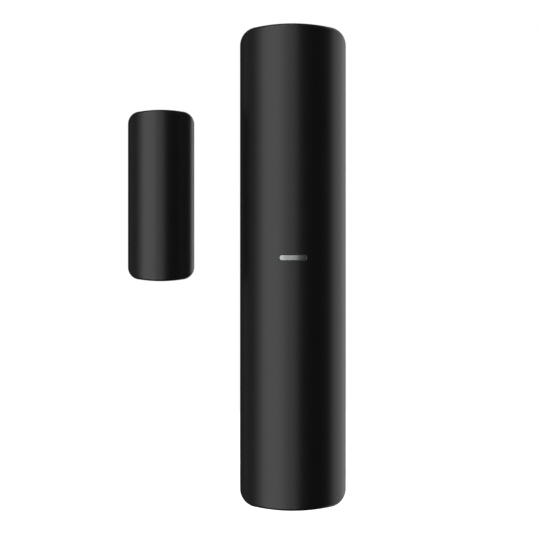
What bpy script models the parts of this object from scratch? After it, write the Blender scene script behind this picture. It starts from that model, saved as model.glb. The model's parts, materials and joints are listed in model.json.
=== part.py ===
"""Slim wireless door contact: a battery sensor on its wall bracket, with the magnet that sits on the door.

Frame: X to the right, +Y into the wall, +Z up, in metres. The wall plane is y = 0, and everything in front of it
has y < 0. The origin is the centre of the bracket's middle tape pad, on the face that sticks to the wall.
"""

import math

import bmesh
import bpy

MM = 0.001

# Clearances: SEAT between a piece and what it rests on, FIT round a piece in its hole, RUN between moving pieces.
SEAT = 0.2 * MM
FIT = 0.15 * MM
RUN = 0.3 * MM

# Sensor cover: a half-round front on straight sides, cut off by slightly domed ends with rounded corners.
SENSOR_WIDTH = 19.6 * MM
SENSOR_LENGTH = 90.0 * MM
SENSOR_DOME_RADIUS = 35.8 * MM
SENSOR_CORNER_RADIUS = 3.3 * MM
SENSOR_WALL = 1.2 * MM

# Magnet cover: the same form, smaller. It stands beside the sensor, level with the middle of the reed switches.
MAGNET_WIDTH = 12.3 * MM
MAGNET_LENGTH = 31.8 * MM
MAGNET_DOME_RADIUS = 25.5 * MM
MAGNET_CORNER_RADIUS = 2.3 * MM
MAGNET_WALL = 1.2 * MM
MAGNET_DEPTH = 10.4 * MM
SENSOR_TO_MAGNET = 8.55 * MM

COVER_EDGE_RADIUS = 0.5 * MM

# Foam tape. It stands proud of the moulding that holds it.
TAPE_THICKNESS = 0.8 * MM
TAPE_PROUD = 0.5 * MM
BRACKET_TAPE_WIDTH = 13.0 * MM
BRACKET_TAPES = {"upper": (19.0 * MM, 30.0 * MM), "middle": (-10.5 * MM, 10.5 * MM), "lower": (-38.5 * MM, -20.0 * MM)}
MAGNET_TAPE_WIDTH = 8.2 * MM
MAGNET_TAPE_LENGTH = 14.0 * MM

# Wall bracket.
BRACKET_THICKNESS = 1.8 * MM
BRACKET_INSET = 0.5 * MM
BRACKET_SCREW_SLOTS = (15.2 * MM, -15.2 * MM)
SCREW_SLOT_WIDTH = 3.6 * MM
SCREW_SLOT_LENGTH = 5.4 * MM
SCREW_HEAD_RADIUS = 3.2 * MM
SCREW_HEAD_DEPTH = 0.8 * MM
HOOK_LEVELS = (25.0 * MM, -27.0 * MM)
HOOK_OFFSET = 5.5 * MM
HOOK_WIDTH = 1.8 * MM
HOOK_STEM = 1.4 * MM
HOOK_LIP = 3.0 * MM
HOOK_LIP_THICKNESS = 1.1 * MM
LIFT_OFF = 3.2 * MM
TAB_WIDTH = 8.6 * MM
TAB_LENGTH = 10.4 * MM
TAB_SLIT = 0.6 * MM
TAB_BRIDGE = 1.2 * MM
TAB_HOLE_RADIUS = 1.6 * MM
TAB_HOLE_BELOW_PLUNGER = 3.6 * MM

# Back cover of the sensor.
BACK_COVER_THICKNESS = 1.2 * MM
SIDE_RIB_THICKNESS = 1.0 * MM
SIDE_RIB_DEPTH = 2.5 * MM
POST_RADIUS = 2.0 * MM
LABEL_WIDTH = 6.6 * MM
LABEL_LENGTH = 16.0 * MM
LABEL_LEVEL = -12.0 * MM
LABEL_THICKNESS = 0.15 * MM
KNOCKOUT_RADIUS = 1.7 * MM
KNOCKOUT_GROOVE = 0.5 * MM
KNOCKOUT_SKIN = 0.5 * MM
KNOCKOUT_OFFSET = 5.3 * MM

# Lithium cell.
CELL_RADIUS = 7.9 * MM
CELL_LENGTH = 33.4 * MM
CELL_EDGE = 0.3 * MM
NUB_RADIUS = 3.2 * MM
NUB_HEIGHT = 1.1 * MM
GROMMET_RADIUS = 6.2 * MM
GROMMET_THICKNESS = 0.5 * MM
SLEEVE_THICKNESS = 0.25 * MM
SLEEVE_MARGIN = 0.5 * MM

# Cell holder and contacts.
HOLDER_RAIL_THICKNESS = 1.2 * MM
HOLDER_RAIL_DEPTH = 3.0 * MM
HOLDER_WALL = 0.9 * MM
HOLDER_HALF_WIDTH = 6.6 * MM
HOLDER_WALL_PAST_AXIS = 0.8 * MM
CONTACT_SHEET = 0.3 * MM
CONTACT_WIDTH = 6.4 * MM
CONTACT_REACH = 3.0 * MM
RETURN_STRIP_WIDTH = 1.0 * MM
SPRING_HEIGHT = 1.5 * MM
SPRING_BASE_RADIUS = 3.4 * MM
SPRING_TIP_RADIUS = 1.8 * MM
SPRING_WIRE_RADIUS = 0.25 * MM
SPRING_TURNS = 3

# Circuit board. Levels on it ("UP") are measured up from its lower edge.
BOARD_THICKNESS = 1.0 * MM
BOARD_BEHIND = 3.6 * MM
BOARD_INSET = 0.4 * MM
LED_UP = 4.4 * MM
LED_SIZE = (3.4 * MM, 1.2 * MM, 2.4 * MM)
LOWER_SCREW_UP = 8.6 * MM
UPPER_SCREW_UP = 34.6 * MM
BOARD_SCREW_RADIUS = 0.8 * MM
BOARD_SCREW_LENGTH = 4.2 * MM
BOARD_SCREW_HEAD_RADIUS = 1.5 * MM
BOARD_SCREW_HEAD = 0.9 * MM
BOARD_SCREW_SLOT = 0.4 * MM
CHIP_UP = 14.8 * MM
CHIP_SIZE = (7.0 * MM, 1.0 * MM, 7.0 * MM)
CRYSTAL_UP = 28.6 * MM
CRYSTAL_OFFSET = 6.7 * MM
CRYSTAL_SIZE = (1.8 * MM, 0.9 * MM, 3.4 * MM)
RADIO_UP = 28.2 * MM
RADIO_OFFSET = 0.8 * MM
RADIO_SIZE = (8.0 * MM, 1.9 * MM, 8.0 * MM)
RADIO_CORNER = 0.5 * MM
CAPACITOR_UP = 3.3 * MM
CAPACITOR_OFFSET = 5.3 * MM
CAPACITOR_RADIUS = 2.0 * MM
CAPACITOR_HEIGHT = 5.2 * MM
INDUCTOR_UP = 3.3 * MM
INDUCTOR_OFFSET = -5.3 * MM
INDUCTOR_RADIUS = 1.9 * MM
INDUCTOR_HEIGHT = 2.0 * MM
ANTENNA_UP = 27.9 * MM
ANTENNA_OFFSET = -6.0 * MM
ANTENNA_RADIUS = 1.5 * MM
ANTENNA_LENGTH = 8.0 * MM
ANTENNA_WIRE_RADIUS = 0.25 * MM
ANTENNA_TURNS = 6

# Reed switches.
REED_UP = 15.95 * MM
REED_OFFSET = 6.2 * MM
REED_GLASS_RADIUS = 1.1 * MM
REED_BORE_RADIUS = 0.7 * MM
REED_GLASS_LENGTH = 12.0 * MM
REED_STAND_OFF = 0.5 * MM
REED_BLADE_OVERLAP = 0.6 * MM
REED_BLADE_SPREAD = 0.3 * MM
REED_LEAD_RADIUS = 0.2 * MM
REED_LEAD_REACH = 7.6 * MM

# Terminal block for a wired contact elsewhere.
TERMINAL_UP = 40.2 * MM
TERMINAL_PITCH = 3.5 * MM
TERMINAL_SIZE = (7.8 * MM, 7.8 * MM, 6.6 * MM)
TERMINAL_SCREW_HEAD_RADIUS = 1.15 * MM
TERMINAL_SCREW_HEAD = 1.1 * MM
TERMINAL_SCREW_RADIUS = 0.8 * MM
TERMINAL_SCREW_LENGTH = 2.0 * MM
TERMINAL_SCREW_SLOT = 0.4 * MM
TERMINAL_SCREW_SUNK = 0.6 * MM
CLAMP_SIZE = (2.0 * MM, 2.2 * MM, 3.6 * MM)
CLAMP_OPENING = 1.2 * MM

# Tamper switch and power switch, on the wall side of the board.
TAMPER_UP = 40.8 * MM
TAMPER_BODY = 5.0 * MM
TAMPER_BODY_DEPTH = 1.6 * MM
TAMPER_PLUNGER_RADIUS = 1.2 * MM
TAMPER_FLANGE_RADIUS = 1.9 * MM
TAMPER_FLANGE = 0.4 * MM
TAMPER_TRAVEL = 0.8 * MM
TAMPER_TOUCH = 0.1 * MM
TAMPER_SPRING_RADIUS = 1.55 * MM
TAMPER_SPRING_WIRE_RADIUS = 0.1 * MM
TAMPER_SPRING_TURNS = 2
POWER_UP = 23.2 * MM
POWER_BODY = 4.0 * MM
POWER_BODY_DEPTH = 1.6 * MM
POWER_BUTTON_RADIUS = 1.3 * MM
POWER_FLANGE_RADIUS = 1.8 * MM
POWER_FLANGE = 0.4 * MM
POWER_TRAVEL = 0.3 * MM
POWER_SUNK = 0.4 * MM

# Light guide: a flat bar with round ends that comes out flush with the round front.
GUIDE_WIDTH = 5.0 * MM
GUIDE_HEIGHT = 0.95 * MM
GUIDE_SUNK = 0.05 * MM
GUIDE_FLANGE = 0.8 * MM
GUIDE_FLANGE_MARGIN = 0.9 * MM
LED_TO_GUIDE = 0.5 * MM
COLLAR_WALL = 0.8 * MM
COLLAR_DEPTH = 2.6 * MM

# Magnet piece.
MAGNET_BASE_THICKNESS = 1.5 * MM
MAGNET_BASE_INSET = 0.3 * MM
SPIGOT_WALL = 0.9 * MM
SPIGOT_DEPTH = 2.4 * MM
MAGNET_SCREW_LEVEL = 10.2 * MM
MAGNET_SCREW_RADIUS = 1.4 * MM
MAGNET_SCREW_HEAD_RADIUS = 2.5 * MM
MAGNET_SCREW_HEAD_DEPTH = 0.7 * MM
ROD_RADIUS = 3.0 * MM
ROD_LENGTH = 20.0 * MM
ROD_EDGE = 0.3 * MM
CRADLE_OFFSET = 6.5 * MM
CRADLE_THICKNESS = 1.2 * MM
PAD_WIDTH = 5.6 * MM
PAD_LENGTH = 12.6 * MM

# Smoothness of round shapes.
DOME_STEPS = 3
CORNER_STEPS = 4
FRONT_STEPS = 8
EDGE_STEPS = 2
ROUND_SEGMENTS = 24


class CoverForm:
    """A cover's outer form: a rounded, domed outline from the front, a half-round from above."""

    def __init__(self, width, length, dome, corner, back, centre):
        self.radius = width / 2
        self.half_length = length / 2
        self.dome = dome
        self.corner = corner
        self.back = back
        self.centre = centre
        self.front = centre - self.radius

    def corner_at(self, inset):
        """The centre (x, z) of the upper right corner's arc, its radius, and the dome's centre and radius."""
        corner = max(self.corner - inset, 0.4 * MM)
        dome = self.dome - inset
        dome_centre = self.half_length - self.dome
        corner_x = self.radius - inset - corner
        corner_z = dome_centre + math.sqrt((dome - corner) ** 2 - corner_x**2)
        return corner_x, corner_z, corner, dome_centre, dome

    def right_edge(self, inset=0.0):
        """Points (x, z, normal x, normal z) down the right half of the outline, top centre to bottom centre."""
        corner_x, corner_z, corner, dome_centre, dome = self.corner_at(inset)
        meet = math.atan2(corner_x, corner_z - dome_centre)
        turns = [meet * i / DOME_STEPS for i in range(DOME_STEPS)]
        upper = [(dome * math.sin(t), dome_centre + dome * math.cos(t), math.sin(t), math.cos(t)) for t in turns]
        turns = [meet + (math.pi / 2 - meet) * i / CORNER_STEPS for i in range(CORNER_STEPS + 1)]
        for t in turns:
            upper.append((corner_x + corner * math.sin(t), corner_z + corner * math.cos(t), math.sin(t), math.cos(t)))
        return upper + [(x, -z, nx, -nz) for x, z, nx, nz in reversed(upper)]

    def outline(self, inset=0.0):
        """The whole outline as a loop of (x, z)."""
        right = [(x, z) for x, z, _, _ in self.right_edge(inset)]
        return right + [(-x, z) for x, z in reversed(right[1:-1])]

    def end_level(self, x, inset=0.0):
        """How high the domed end stands at x."""
        dome = self.dome - inset
        return self.half_length - self.dome + math.sqrt(dome**2 - x**2)


def above(outline, level):
    """The part of a left-right symmetric outline above a level, closed with a straight lower edge."""
    half_width = max(x for x, z in outline)
    right = sorted((point for point in outline if point[0] > 0 and point[1] > level), key=lambda point: -point[1])
    middle = [point for point in outline if point[0] == 0 and point[1] > level]
    left = [(-x, z) for x, z in reversed(right)]
    return middle + right + [(half_width, level), (-half_width, level)] + left


def below(outline, level):
    """The part of a left-right symmetric outline below a level."""
    mirrored = above([(x, -z) for x, z in outline], -level)
    return [(x, -z) for x, z in mirrored]


# Depths as y coordinates, from the wall forward.
TAPE_FRONT = -TAPE_THICKNESS
BRACKET_FRONT = -TAPE_PROUD - BRACKET_THICKNESS
SENSOR_BACK = BRACKET_FRONT - RUN
BACK_COVER_FRONT = SENSOR_BACK - BACK_COVER_THICKNESS
BOARD_BACK = BACK_COVER_FRONT - BOARD_BEHIND
BOARD_FRONT = BOARD_BACK - BOARD_THICKNESS
SLEEVE_RADIUS = CELL_RADIUS + SEAT + SLEEVE_THICKNESS
CELL_AXIS = BACK_COVER_FRONT - FIT - FIT - SLEEVE_RADIUS
HOLDER_BACK = BACK_COVER_FRONT - SEAT
HOLDER_RAIL_FRONT = HOLDER_BACK - HOLDER_RAIL_DEPTH
MAGNET_BASE_FRONT = -TAPE_PROUD - MAGNET_BASE_THICKNESS
MAGNET_BACK = MAGNET_BASE_FRONT - RUN
MAGNET_AXIS = MAGNET_BACK - MAGNET_DEPTH + MAGNET_WIDTH / 2

SENSOR = CoverForm(
    SENSOR_WIDTH, SENSOR_LENGTH, SENSOR_DOME_RADIUS, SENSOR_CORNER_RADIUS, BACK_COVER_FRONT - RUN, CELL_AXIS
)
MAGNET = CoverForm(MAGNET_WIDTH, MAGNET_LENGTH, MAGNET_DOME_RADIUS, MAGNET_CORNER_RADIUS, MAGNET_BACK, MAGNET_AXIS)

# Levels as z coordinates: the cell's stack from the lower end up, then the board above it.
LOWER_WALL_LOW = -(SENSOR.end_level(HOLDER_HALF_WIDTH, SENSOR_WALL) - RUN)
LOWER_WALL_HIGH = LOWER_WALL_LOW + HOLDER_WALL
LOWER_CONTACT = LOWER_WALL_HIGH + SEAT + CONTACT_SHEET / 2
SPRING_LOW = LOWER_CONTACT + CONTACT_SHEET / 2 + SEAT + SPRING_WIRE_RADIUS
CELL_BOTTOM = SPRING_LOW + SPRING_HEIGHT + SPRING_WIRE_RADIUS + SEAT
CELL_TOP = CELL_BOTTOM + CELL_LENGTH
UPPER_CONTACT = CELL_TOP + NUB_HEIGHT + SEAT + CONTACT_SHEET / 2
UPPER_WALL_LOW = UPPER_CONTACT + CONTACT_SHEET / 2 + SEAT
UPPER_WALL_HIGH = UPPER_WALL_LOW + HOLDER_WALL
BOARD_LOW = UPPER_WALL_HIGH + RUN
GUIDE_LEVEL = BOARD_LOW + LED_UP
TAMPER_LEVEL = BOARD_LOW + TAMPER_UP
MAGNET_PLACE = (-(SENSOR_WIDTH / 2 + SENSOR_TO_MAGNET + MAGNET_WIDTH / 2), 0.0, BOARD_LOW + REED_UP)


# ---- Materials -------------------------------------------------------------------------------------------------


def material(name, colour, roughness, metallic=0.0):
    made = bpy.data.materials.new(name)
    made.use_nodes = True
    shader = made.node_tree.nodes["Principled BSDF"]
    shader.inputs["Base Color"].default_value = (*colour, 1.0)
    shader.inputs["Roughness"].default_value = roughness
    shader.inputs["Metallic"].default_value = metallic
    made.diffuse_color = (*colour, 1.0)
    return made


class Finishes:
    """The materials, made once and shared by the pieces."""

    def __init__(self):
        self.black_plastic = material("black_plastic", (0.012, 0.012, 0.013), 0.42)
        self.frosted_lens = material("frosted_lens", (0.55, 0.56, 0.57), 0.3)
        self.foam_tape = material("foam_tape", (0.62, 0.62, 0.60), 0.9)
        self.circuit_board = material("circuit_board", (0.01, 0.09, 0.035), 0.35)
        self.white_plastic = material("white_plastic", (0.75, 0.74, 0.70), 0.45)
        self.nickel = material("nickel", (0.66, 0.64, 0.60), 0.25, 1.0)
        self.cell_steel = material("cell_steel", (0.55, 0.55, 0.56), 0.3, 1.0)
        self.cell_sleeve = material("cell_sleeve", (0.05, 0.16, 0.42), 0.35)
        self.glass = material("glass", (0.55, 0.75, 0.70), 0.05)
        self.chip_black = material("chip_black", (0.02, 0.02, 0.02), 0.5)
        self.terminal_green = material("terminal_green", (0.02, 0.28, 0.12), 0.45)
        self.copper = material("copper", (0.72, 0.35, 0.18), 0.3, 1.0)
        self.label_paper = material("label_paper", (0.78, 0.78, 0.76), 0.6)
        self.magnet_plating = material("magnet_plating", (0.70, 0.70, 0.72), 0.18, 1.0)


# ---- Shape tools -----------------------------------------------------------------------------------------------


def add_object(name, data, finish, parent, at):
    made = bpy.data.objects.new(name, data)
    bpy.context.scene.collection.objects.link(made)
    made.parent = parent
    made.location = at
    if finish is not None:
        data.materials.append(finish)
    return made


def add_place(name, at, parent=None):
    """An empty that carries the pieces of one body."""
    return add_object(name, None, None, parent, at)


def shade(mesh):
    """Round sides shade smooth, and a face whose edges are all sharp shades flat."""
    mesh.shade_smooth()
    mesh.set_sharp_from_angle(angle=math.radians(35))
    sharp = {edge.key for edge in mesh.edges if edge.use_edge_sharp}
    for face in mesh.polygons:
        face.use_smooth = not sharp.issuperset(face.edge_keys)


def object_from(bm, name, finish=None, parent=None, at=(0.0, 0.0, 0.0)):
    """Cleans a bmesh and places it as one object."""
    bmesh.ops.remove_doubles(bm, verts=bm.verts, dist=0.0005 * MM)
    bmesh.ops.recalc_face_normals(bm, faces=bm.faces)
    mesh = bpy.data.meshes.new(name)
    bm.to_mesh(mesh)
    bm.free()
    shade(mesh)
    return add_object(name, mesh, finish, parent, at)


def bridge(bm, first, second):
    """Side faces between two loops of the same number of vertices."""
    count = len(first)
    for i in range(count):
        j = (i + 1) % count
        bm.faces.new((first[i], first[j], second[j], second[i]))


def stack(name, rings, finish=None, parent=None, at=(0.0, 0.0, 0.0)):
    """A closed body through rings of the same number of points, with a flat cap on the first and the last."""
    bm = bmesh.new()
    loops = [[bm.verts.new(point) for point in ring] for ring in rings]
    for first, second in zip(loops, loops[1:]):
        bridge(bm, first, second)
    bm.faces.new(loops[0])
    bm.faces.new(loops[-1])
    return object_from(bm, name, finish, parent, at)


def plate(name, outline, back, front, finish=None, parent=None, at=(0.0, 0.0, 0.0)):
    """A flat piece: an (x, z) outline from y = back to y = front."""
    rings = [[(x, y, z) for x, z in outline] for y in (back, front)]
    return stack(name, rings, finish, parent, at)


def box(name, size, at, finish=None, parent=None):
    bm = bmesh.new()
    bmesh.ops.create_cube(bm, size=1.0)
    bmesh.ops.scale(bm, verts=bm.verts, vec=size)
    return object_from(bm, name, finish, parent, at)


def box_between(name, xs, ys, zs, finish=None, parent=None):
    """A box from its two limits along each axis."""
    size = [abs(b - a) for a, b in (xs, ys, zs)]
    return box(name, size, [(a + b) / 2 for a, b in (xs, ys, zs)], finish, parent)


def circle(radius, along, axis, segments=ROUND_SEGMENTS):
    """A ring of points about an axis through the origin, at a distance along it."""
    points = []
    for i in range(segments):
        turn = 2 * math.pi * i / segments
        a, b = radius * math.cos(turn), radius * math.sin(turn)
        points.append((a, along, b) if axis == "Y" else (a, b, along))
    return points


def turned(name, profile, axis, at, finish=None, parent=None):
    """A body turned about its own axis: profile is a list of (radius, distance along the axis)."""
    return stack(name, [circle(radius, along, axis) for radius, along in profile], finish, parent, at)


def tube(name, inner, outer, start, end, axis, at, finish=None, parent=None):
    """A ring or sleeve about its own axis."""
    bm = bmesh.new()
    corners = ((inner, start), (outer, start), (outer, end), (inner, end))
    loops = [[bm.verts.new(point) for point in circle(radius, along, axis)] for radius, along in corners]
    for first, second in zip(loops, loops[1:] + loops[:1]):
        bridge(bm, first, second)
    return object_from(bm, name, finish, parent, at)


def pill(width, height, steps=5):
    """The outline (x, z) of a slot with round ends."""
    radius = min(width, height) / 2
    reach = max(width, height) / 2 - radius
    turns = [-math.pi / 2 + math.pi * i / steps for i in range(steps + 1)]
    points = [(reach + radius * math.cos(t), radius * math.sin(t)) for t in turns]
    points += [(-a, -b) for a, b in points]
    return points if width > height else [(b, -a) for a, b in points]


def combine(target, tools, operation):
    for tool in tools:
        change = target.modifiers.new(f"{operation.lower()}_{tool.name}", "BOOLEAN")
        change.object = tool
        change.operation = operation
        change.solver = "EXACT"
        tool.hide_render = True
        tool.display_type = "WIRE"


def cut(target, *tools):
    combine(target, tools, "DIFFERENCE")


def join(target, *tools):
    combine(target, tools, "UNION")


def keep_inside(target, tool):
    combine(target, [tool], "INTERSECT")


def bent_strip(name, path, width, centre_x, finish=None, parent=None):
    """Sheet metal: a (y, z) centre line with sharp bends, thickened and given a width along X."""
    normals = []
    for (y0, z0), (y1, z1) in zip(path, path[1:]):
        length = math.hypot(y1 - y0, z1 - z0)
        normals.append(((z0 - z1) / length, (y1 - y0) / length))
    near, far = [], []
    for i, (y, z) in enumerate(path):
        (a0, b0), (a1, b1) = normals[max(i - 1, 0)], normals[min(i, len(normals) - 1)]
        mitre = CONTACT_SHEET / 2 / (1 + a0 * a1 + b0 * b1)
        near.append((y + mitre * (a0 + a1), z + mitre * (b0 + b1)))
        far.append((y - mitre * (a0 + a1), z - mitre * (b0 + b1)))
    profile = near + far[::-1]
    rings = [[(x, y, z) for y, z in profile] for x in (centre_x - width / 2, centre_x + width / 2)]
    return stack(name, rings, finish, parent)


def wire(name, points, radius, at, finish, parent):
    """A round wire along the points, with closed ends."""
    curve = bpy.data.curves.new(name, "CURVE")
    curve.dimensions = "3D"
    curve.bevel_depth = radius
    curve.bevel_resolution = 1
    curve.use_fill_caps = True
    spline = curve.splines.new("POLY")
    spline.points.add(len(points) - 1)
    for knot, point in zip(spline.points, points):
        knot.co = (*point, 1.0)
    return add_object(name, curve, finish, parent, at)


def coil(start_radius, end_radius, length, turns, axis, steps=12):
    """Points of a helix about an axis through the origin, from 0 to length along it."""
    points = []
    for i in range(turns * steps + 1):
        share = i / (turns * steps)
        turn = 2 * math.pi * turns * share
        radius = start_radius + (end_radius - start_radius) * share
        a, b, along = radius * math.cos(turn), radius * math.sin(turn), length * share
        points.append((a, along, b) if axis == "Y" else (a, b, along))
    return points


# ---- Covers ----------------------------------------------------------------------------------------------------


def edge_round(x, z, nx, nz, radius, centre, edge_radius):
    """Points round the edge between the end face and the round front, from the side to the front."""
    sine = min(x / radius, 1.0)
    cosine = math.sqrt(1 - sine * sine)
    edge = (x, centre - radius * cosine, z)
    side, front = (nx, 0.0, nz), (sine, -cosine, 0.0)
    between = math.acos(max(-1.0, min(1.0, nx * sine)))
    if between < 0.01 or not edge_radius:
        return [edge] * (EDGE_STEPS + 1)
    hub = [e - edge_radius * (a + b) / (1 + math.cos(between)) for e, a, b in zip(edge, side, front)]
    points = []
    for i in range(EDGE_STEPS + 1):
        turn = between * i / EDGE_STEPS
        from_side = math.sin(between - turn) / math.sin(between)
        from_front = math.sin(turn) / math.sin(between)
        points.append([h + edge_radius * (from_side * a + from_front * b) for h, a, b in zip(hub, side, front)])
    return points


def skin_rings(form, inset, edge_radius):
    """Loops over a cover's skin, from its back rim round the front edge to the line down its middle."""
    radius = form.radius - inset
    spine_end = form.half_length - form.radius
    columns = []
    for x, z, nx, nz in form.right_edge(inset):
        column = [(x, form.back, z)] + edge_round(x, z, nx, nz, radius, form.centre, edge_radius)
        edge_x, _, edge_z = column[-1]
        angle = math.asin(min(edge_x / radius, 1.0))
        spine = max(-spine_end, min(spine_end, z))
        for i in range(1, FRONT_STEPS + 1):
            share = i / FRONT_STEPS
            turn = angle * (1 - share)
            level = edge_z + (spine - edge_z) * share
            column.append((radius * math.sin(turn), form.centre - radius * math.cos(turn), level))
        columns.append(column)
    rings = []
    for right in zip(*columns):
        rings.append([*right, *((-x, y, z) for x, y, z in reversed(right[1:-1]))])
    return rings


def hollow_cover(name, form, wall, finish, parent):
    """A cover of even wall, open at the back."""
    bm = bmesh.new()
    skins = []
    for inset, edge_radius in ((0.0, COVER_EDGE_RADIUS), (wall, 0.0)):
        loops = [[bm.verts.new(point) for point in ring] for ring in skin_rings(form, inset, edge_radius)]
        for i in range(len(loops) - 1):
            bridge(bm, loops[i], loops[i + 1])
        skins.append(loops)
    bridge(bm, skins[0][0], skins[1][0])
    return object_from(bm, name, finish, parent)


# ---- Wall bracket ----------------------------------------------------------------------------------------------


def make_bracket(finishes, place):
    outline = SENSOR.outline(BRACKET_INSET)
    bracket = plate("wall_bracket", outline, -TAPE_PROUD, BRACKET_FRONT, finishes.black_plastic, place)
    for level in HOOK_LEVELS:
        for side in (-1, 1):
            join(bracket, make_hook(side * HOOK_OFFSET, level))
    for name, (low, high) in BRACKET_TAPES.items():
        half = BRACKET_TAPE_WIDTH / 2
        box_between(f"bracket_tape_{name}", (-half, half), (0, TAPE_FRONT), (low, high), finishes.foam_tape, place)
        half += FIT
        ends = (low - FIT, high + FIT)
        cut(bracket, box_between(f"tape_seat_{name}", (-half, half), (1 * MM, TAPE_FRONT - SEAT), ends))
    for level in BRACKET_SCREW_SLOTS:
        cut_screw_slot(bracket, level)
    cut_tamper_tab(bracket)


def make_hook(x, level):
    """A stem through the back cover with a lip that points up behind it."""
    half = HOOK_WIDTH / 2
    lip_back = BACK_COVER_FRONT - RUN
    lip_front = lip_back - HOOK_LIP_THICKNESS
    root = BRACKET_FRONT + BRACKET_THICKNESS / 2
    low, high = level - HOOK_STEM / 2, level + HOOK_STEM / 2
    profile = [(root, low), (lip_front, low), (lip_front, high + HOOK_LIP), (lip_back, high + HOOK_LIP)]
    profile += [(lip_back, high), (root, high)]
    rings = [[(side, y, z) for y, z in profile] for side in (x - half, x + half)]
    return stack(f"hook_{'right' if x > 0 else 'left'}_{'upper' if level > 0 else 'lower'}", rings)


def cut_screw_slot(bracket, level):
    depth = BRACKET_FRONT + SCREW_HEAD_DEPTH
    name = "upper" if level > 0 else "lower"
    at = (0.0, 0.0, level)
    slot = plate(f"screw_slot_{name}", pill(SCREW_SLOT_WIDTH, SCREW_SLOT_LENGTH), 1 * MM, -5 * MM, at=at)
    length = SCREW_SLOT_LENGTH - SCREW_SLOT_WIDTH + 2 * SCREW_HEAD_RADIUS
    seat = plate(f"screw_seat_{name}", pill(2 * SCREW_HEAD_RADIUS, length), depth, -5 * MM, at=at)
    cut(bracket, slot, seat)


def cut_tamper_tab(bracket):
    """Slits round the tab that the tamper plunger rests on, with a bridge left at each corner."""
    half, middle = TAB_WIDTH / 2, TAMPER_LEVEL - TAB_HOLE_BELOW_PLUNGER / 2
    low, high = middle - TAB_LENGTH / 2, middle + TAB_LENGTH / 2
    through = (1 * MM, -5 * MM)
    for side, name in ((-1, "left"), (1, "right")):
        edges = (side * half - TAB_SLIT / 2, side * half + TAB_SLIT / 2)
        ends = (low + TAB_BRIDGE, high - TAB_BRIDGE)
        cut(bracket, box_between(f"tab_slit_{name}", edges, through, ends))
    for level, name in ((low, "lower"), (high, "upper")):
        edges = (-half + TAB_BRIDGE, half - TAB_BRIDGE)
        ends = (level - TAB_SLIT / 2, level + TAB_SLIT / 2)
        cut(bracket, box_between(f"tab_slit_{name}", edges, through, ends))
    at = (0.0, 0.0, TAMPER_LEVEL - TAB_HOLE_BELOW_PLUNGER)
    cut(bracket, turned("tab_hole", [(TAB_HOLE_RADIUS, 1 * MM), (TAB_HOLE_RADIUS, -5 * MM)], "Y", at))


# ---- Back cover ------------------------------------------------------------------------------------------------


def make_back_cover(finishes, place):
    cover = plate("back_cover", SENSOR.outline(), SENSOR_BACK, BACK_COVER_FRONT, finishes.black_plastic, place)
    add_side_ribs(cover)
    for up, name in ((LOWER_SCREW_UP, "lower"), (UPPER_SCREW_UP, "upper")):
        add_post(cover, BOARD_LOW + up, name)
    for level in HOOK_LEVELS:
        for side in (-1, 1):
            cut_hook_slot(cover, side * HOOK_OFFSET, level)
    for radius, up, name in (
        (TAMPER_PLUNGER_RADIUS, TAMPER_UP, "tamper_hole"),
        (POWER_BUTTON_RADIUS, POWER_UP, "power_hole"),
    ):
        profile = [(radius + RUN, 1 * MM), (radius + RUN, BACK_COVER_FRONT - 1 * MM)]
        cut(cover, turned(name, profile, "Y", (0.0, 0.0, BOARD_LOW + up)))
    add_label(cover, finishes, place)
    start, end = SENSOR_BACK + 1 * MM, BACK_COVER_FRONT + KNOCKOUT_SKIN
    at = (-KNOCKOUT_OFFSET, 0.0, TAMPER_LEVEL)
    cut(cover, tube("knockout_groove", KNOCKOUT_RADIUS - KNOCKOUT_GROOVE, KNOCKOUT_RADIUS, start, end, "Y", at))


def add_side_ribs(cover):
    """Ribs that stand inside the front shell's side walls, above the cell holder."""
    outer = SENSOR.radius - SENSOR_WALL - RUN
    high = SENSOR.corner_at(SENSOR_WALL)[1] - RUN
    for side, name in ((-1, "left"), (1, "right")):
        edges = sorted((side * outer, side * (outer - SIDE_RIB_THICKNESS)))
        depth = (BACK_COVER_FRONT + BACK_COVER_THICKNESS / 2, BACK_COVER_FRONT - SIDE_RIB_DEPTH)
        join(cover, box_between(f"side_rib_{name}", edges, depth, (BOARD_LOW, high)))


def add_post(cover, level, name):
    """A post that carries the board and takes its screw."""
    at = (0.0, 0.0, level)
    root = BACK_COVER_FRONT + BACK_COVER_THICKNESS / 2
    join(cover, turned(f"post_{name}", [(POST_RADIUS, root), (POST_RADIUS, BOARD_BACK + SEAT)], "Y", at))
    bore = BOARD_SCREW_RADIUS + FIT
    depth = BOARD_FRONT - SEAT + BOARD_SCREW_LENGTH + RUN
    cut(cover, turned(f"post_bore_{name}", [(bore, depth), (bore, BOARD_BACK - 1 * MM)], "Y", at))


def cut_hook_slot(cover, x, level):
    """A slot in which the hook's stem stands at the top, long enough for its lip to pass out."""
    half = HOOK_WIDTH / 2 + RUN
    low = level - HOOK_STEM / 2 - RUN - LIFT_OFF
    high = level + HOOK_STEM / 2 + RUN
    name = f"hook_slot_{'right' if x > 0 else 'left'}_{'upper' if level > 0 else 'lower'}"
    cut(cover, box_between(name, (x - half, x + half), (1 * MM, BACK_COVER_FRONT - 1 * MM), (low, high)))


def add_label(cover, finishes, place):
    """A blank label, let in flush with the cover's back."""
    outline = [(sx * LABEL_WIDTH / 2, sz * LABEL_LENGTH / 2) for sx, sz in ((-1, -1), (1, -1), (1, 1), (-1, 1))]
    at = (0.0, 0.0, LABEL_LEVEL)
    front = SENSOR_BACK - LABEL_THICKNESS
    plate("blank_label", outline, SENSOR_BACK, front, finishes.label_paper, place, at)
    edges, ends = LABEL_WIDTH / 2 + FIT, LABEL_LENGTH / 2 + FIT
    seat = box_between(
        "label_seat", (-edges, edges), (1 * MM, front - SEAT), (LABEL_LEVEL - ends, LABEL_LEVEL + ends)
    )
    cut(cover, seat)


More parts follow.
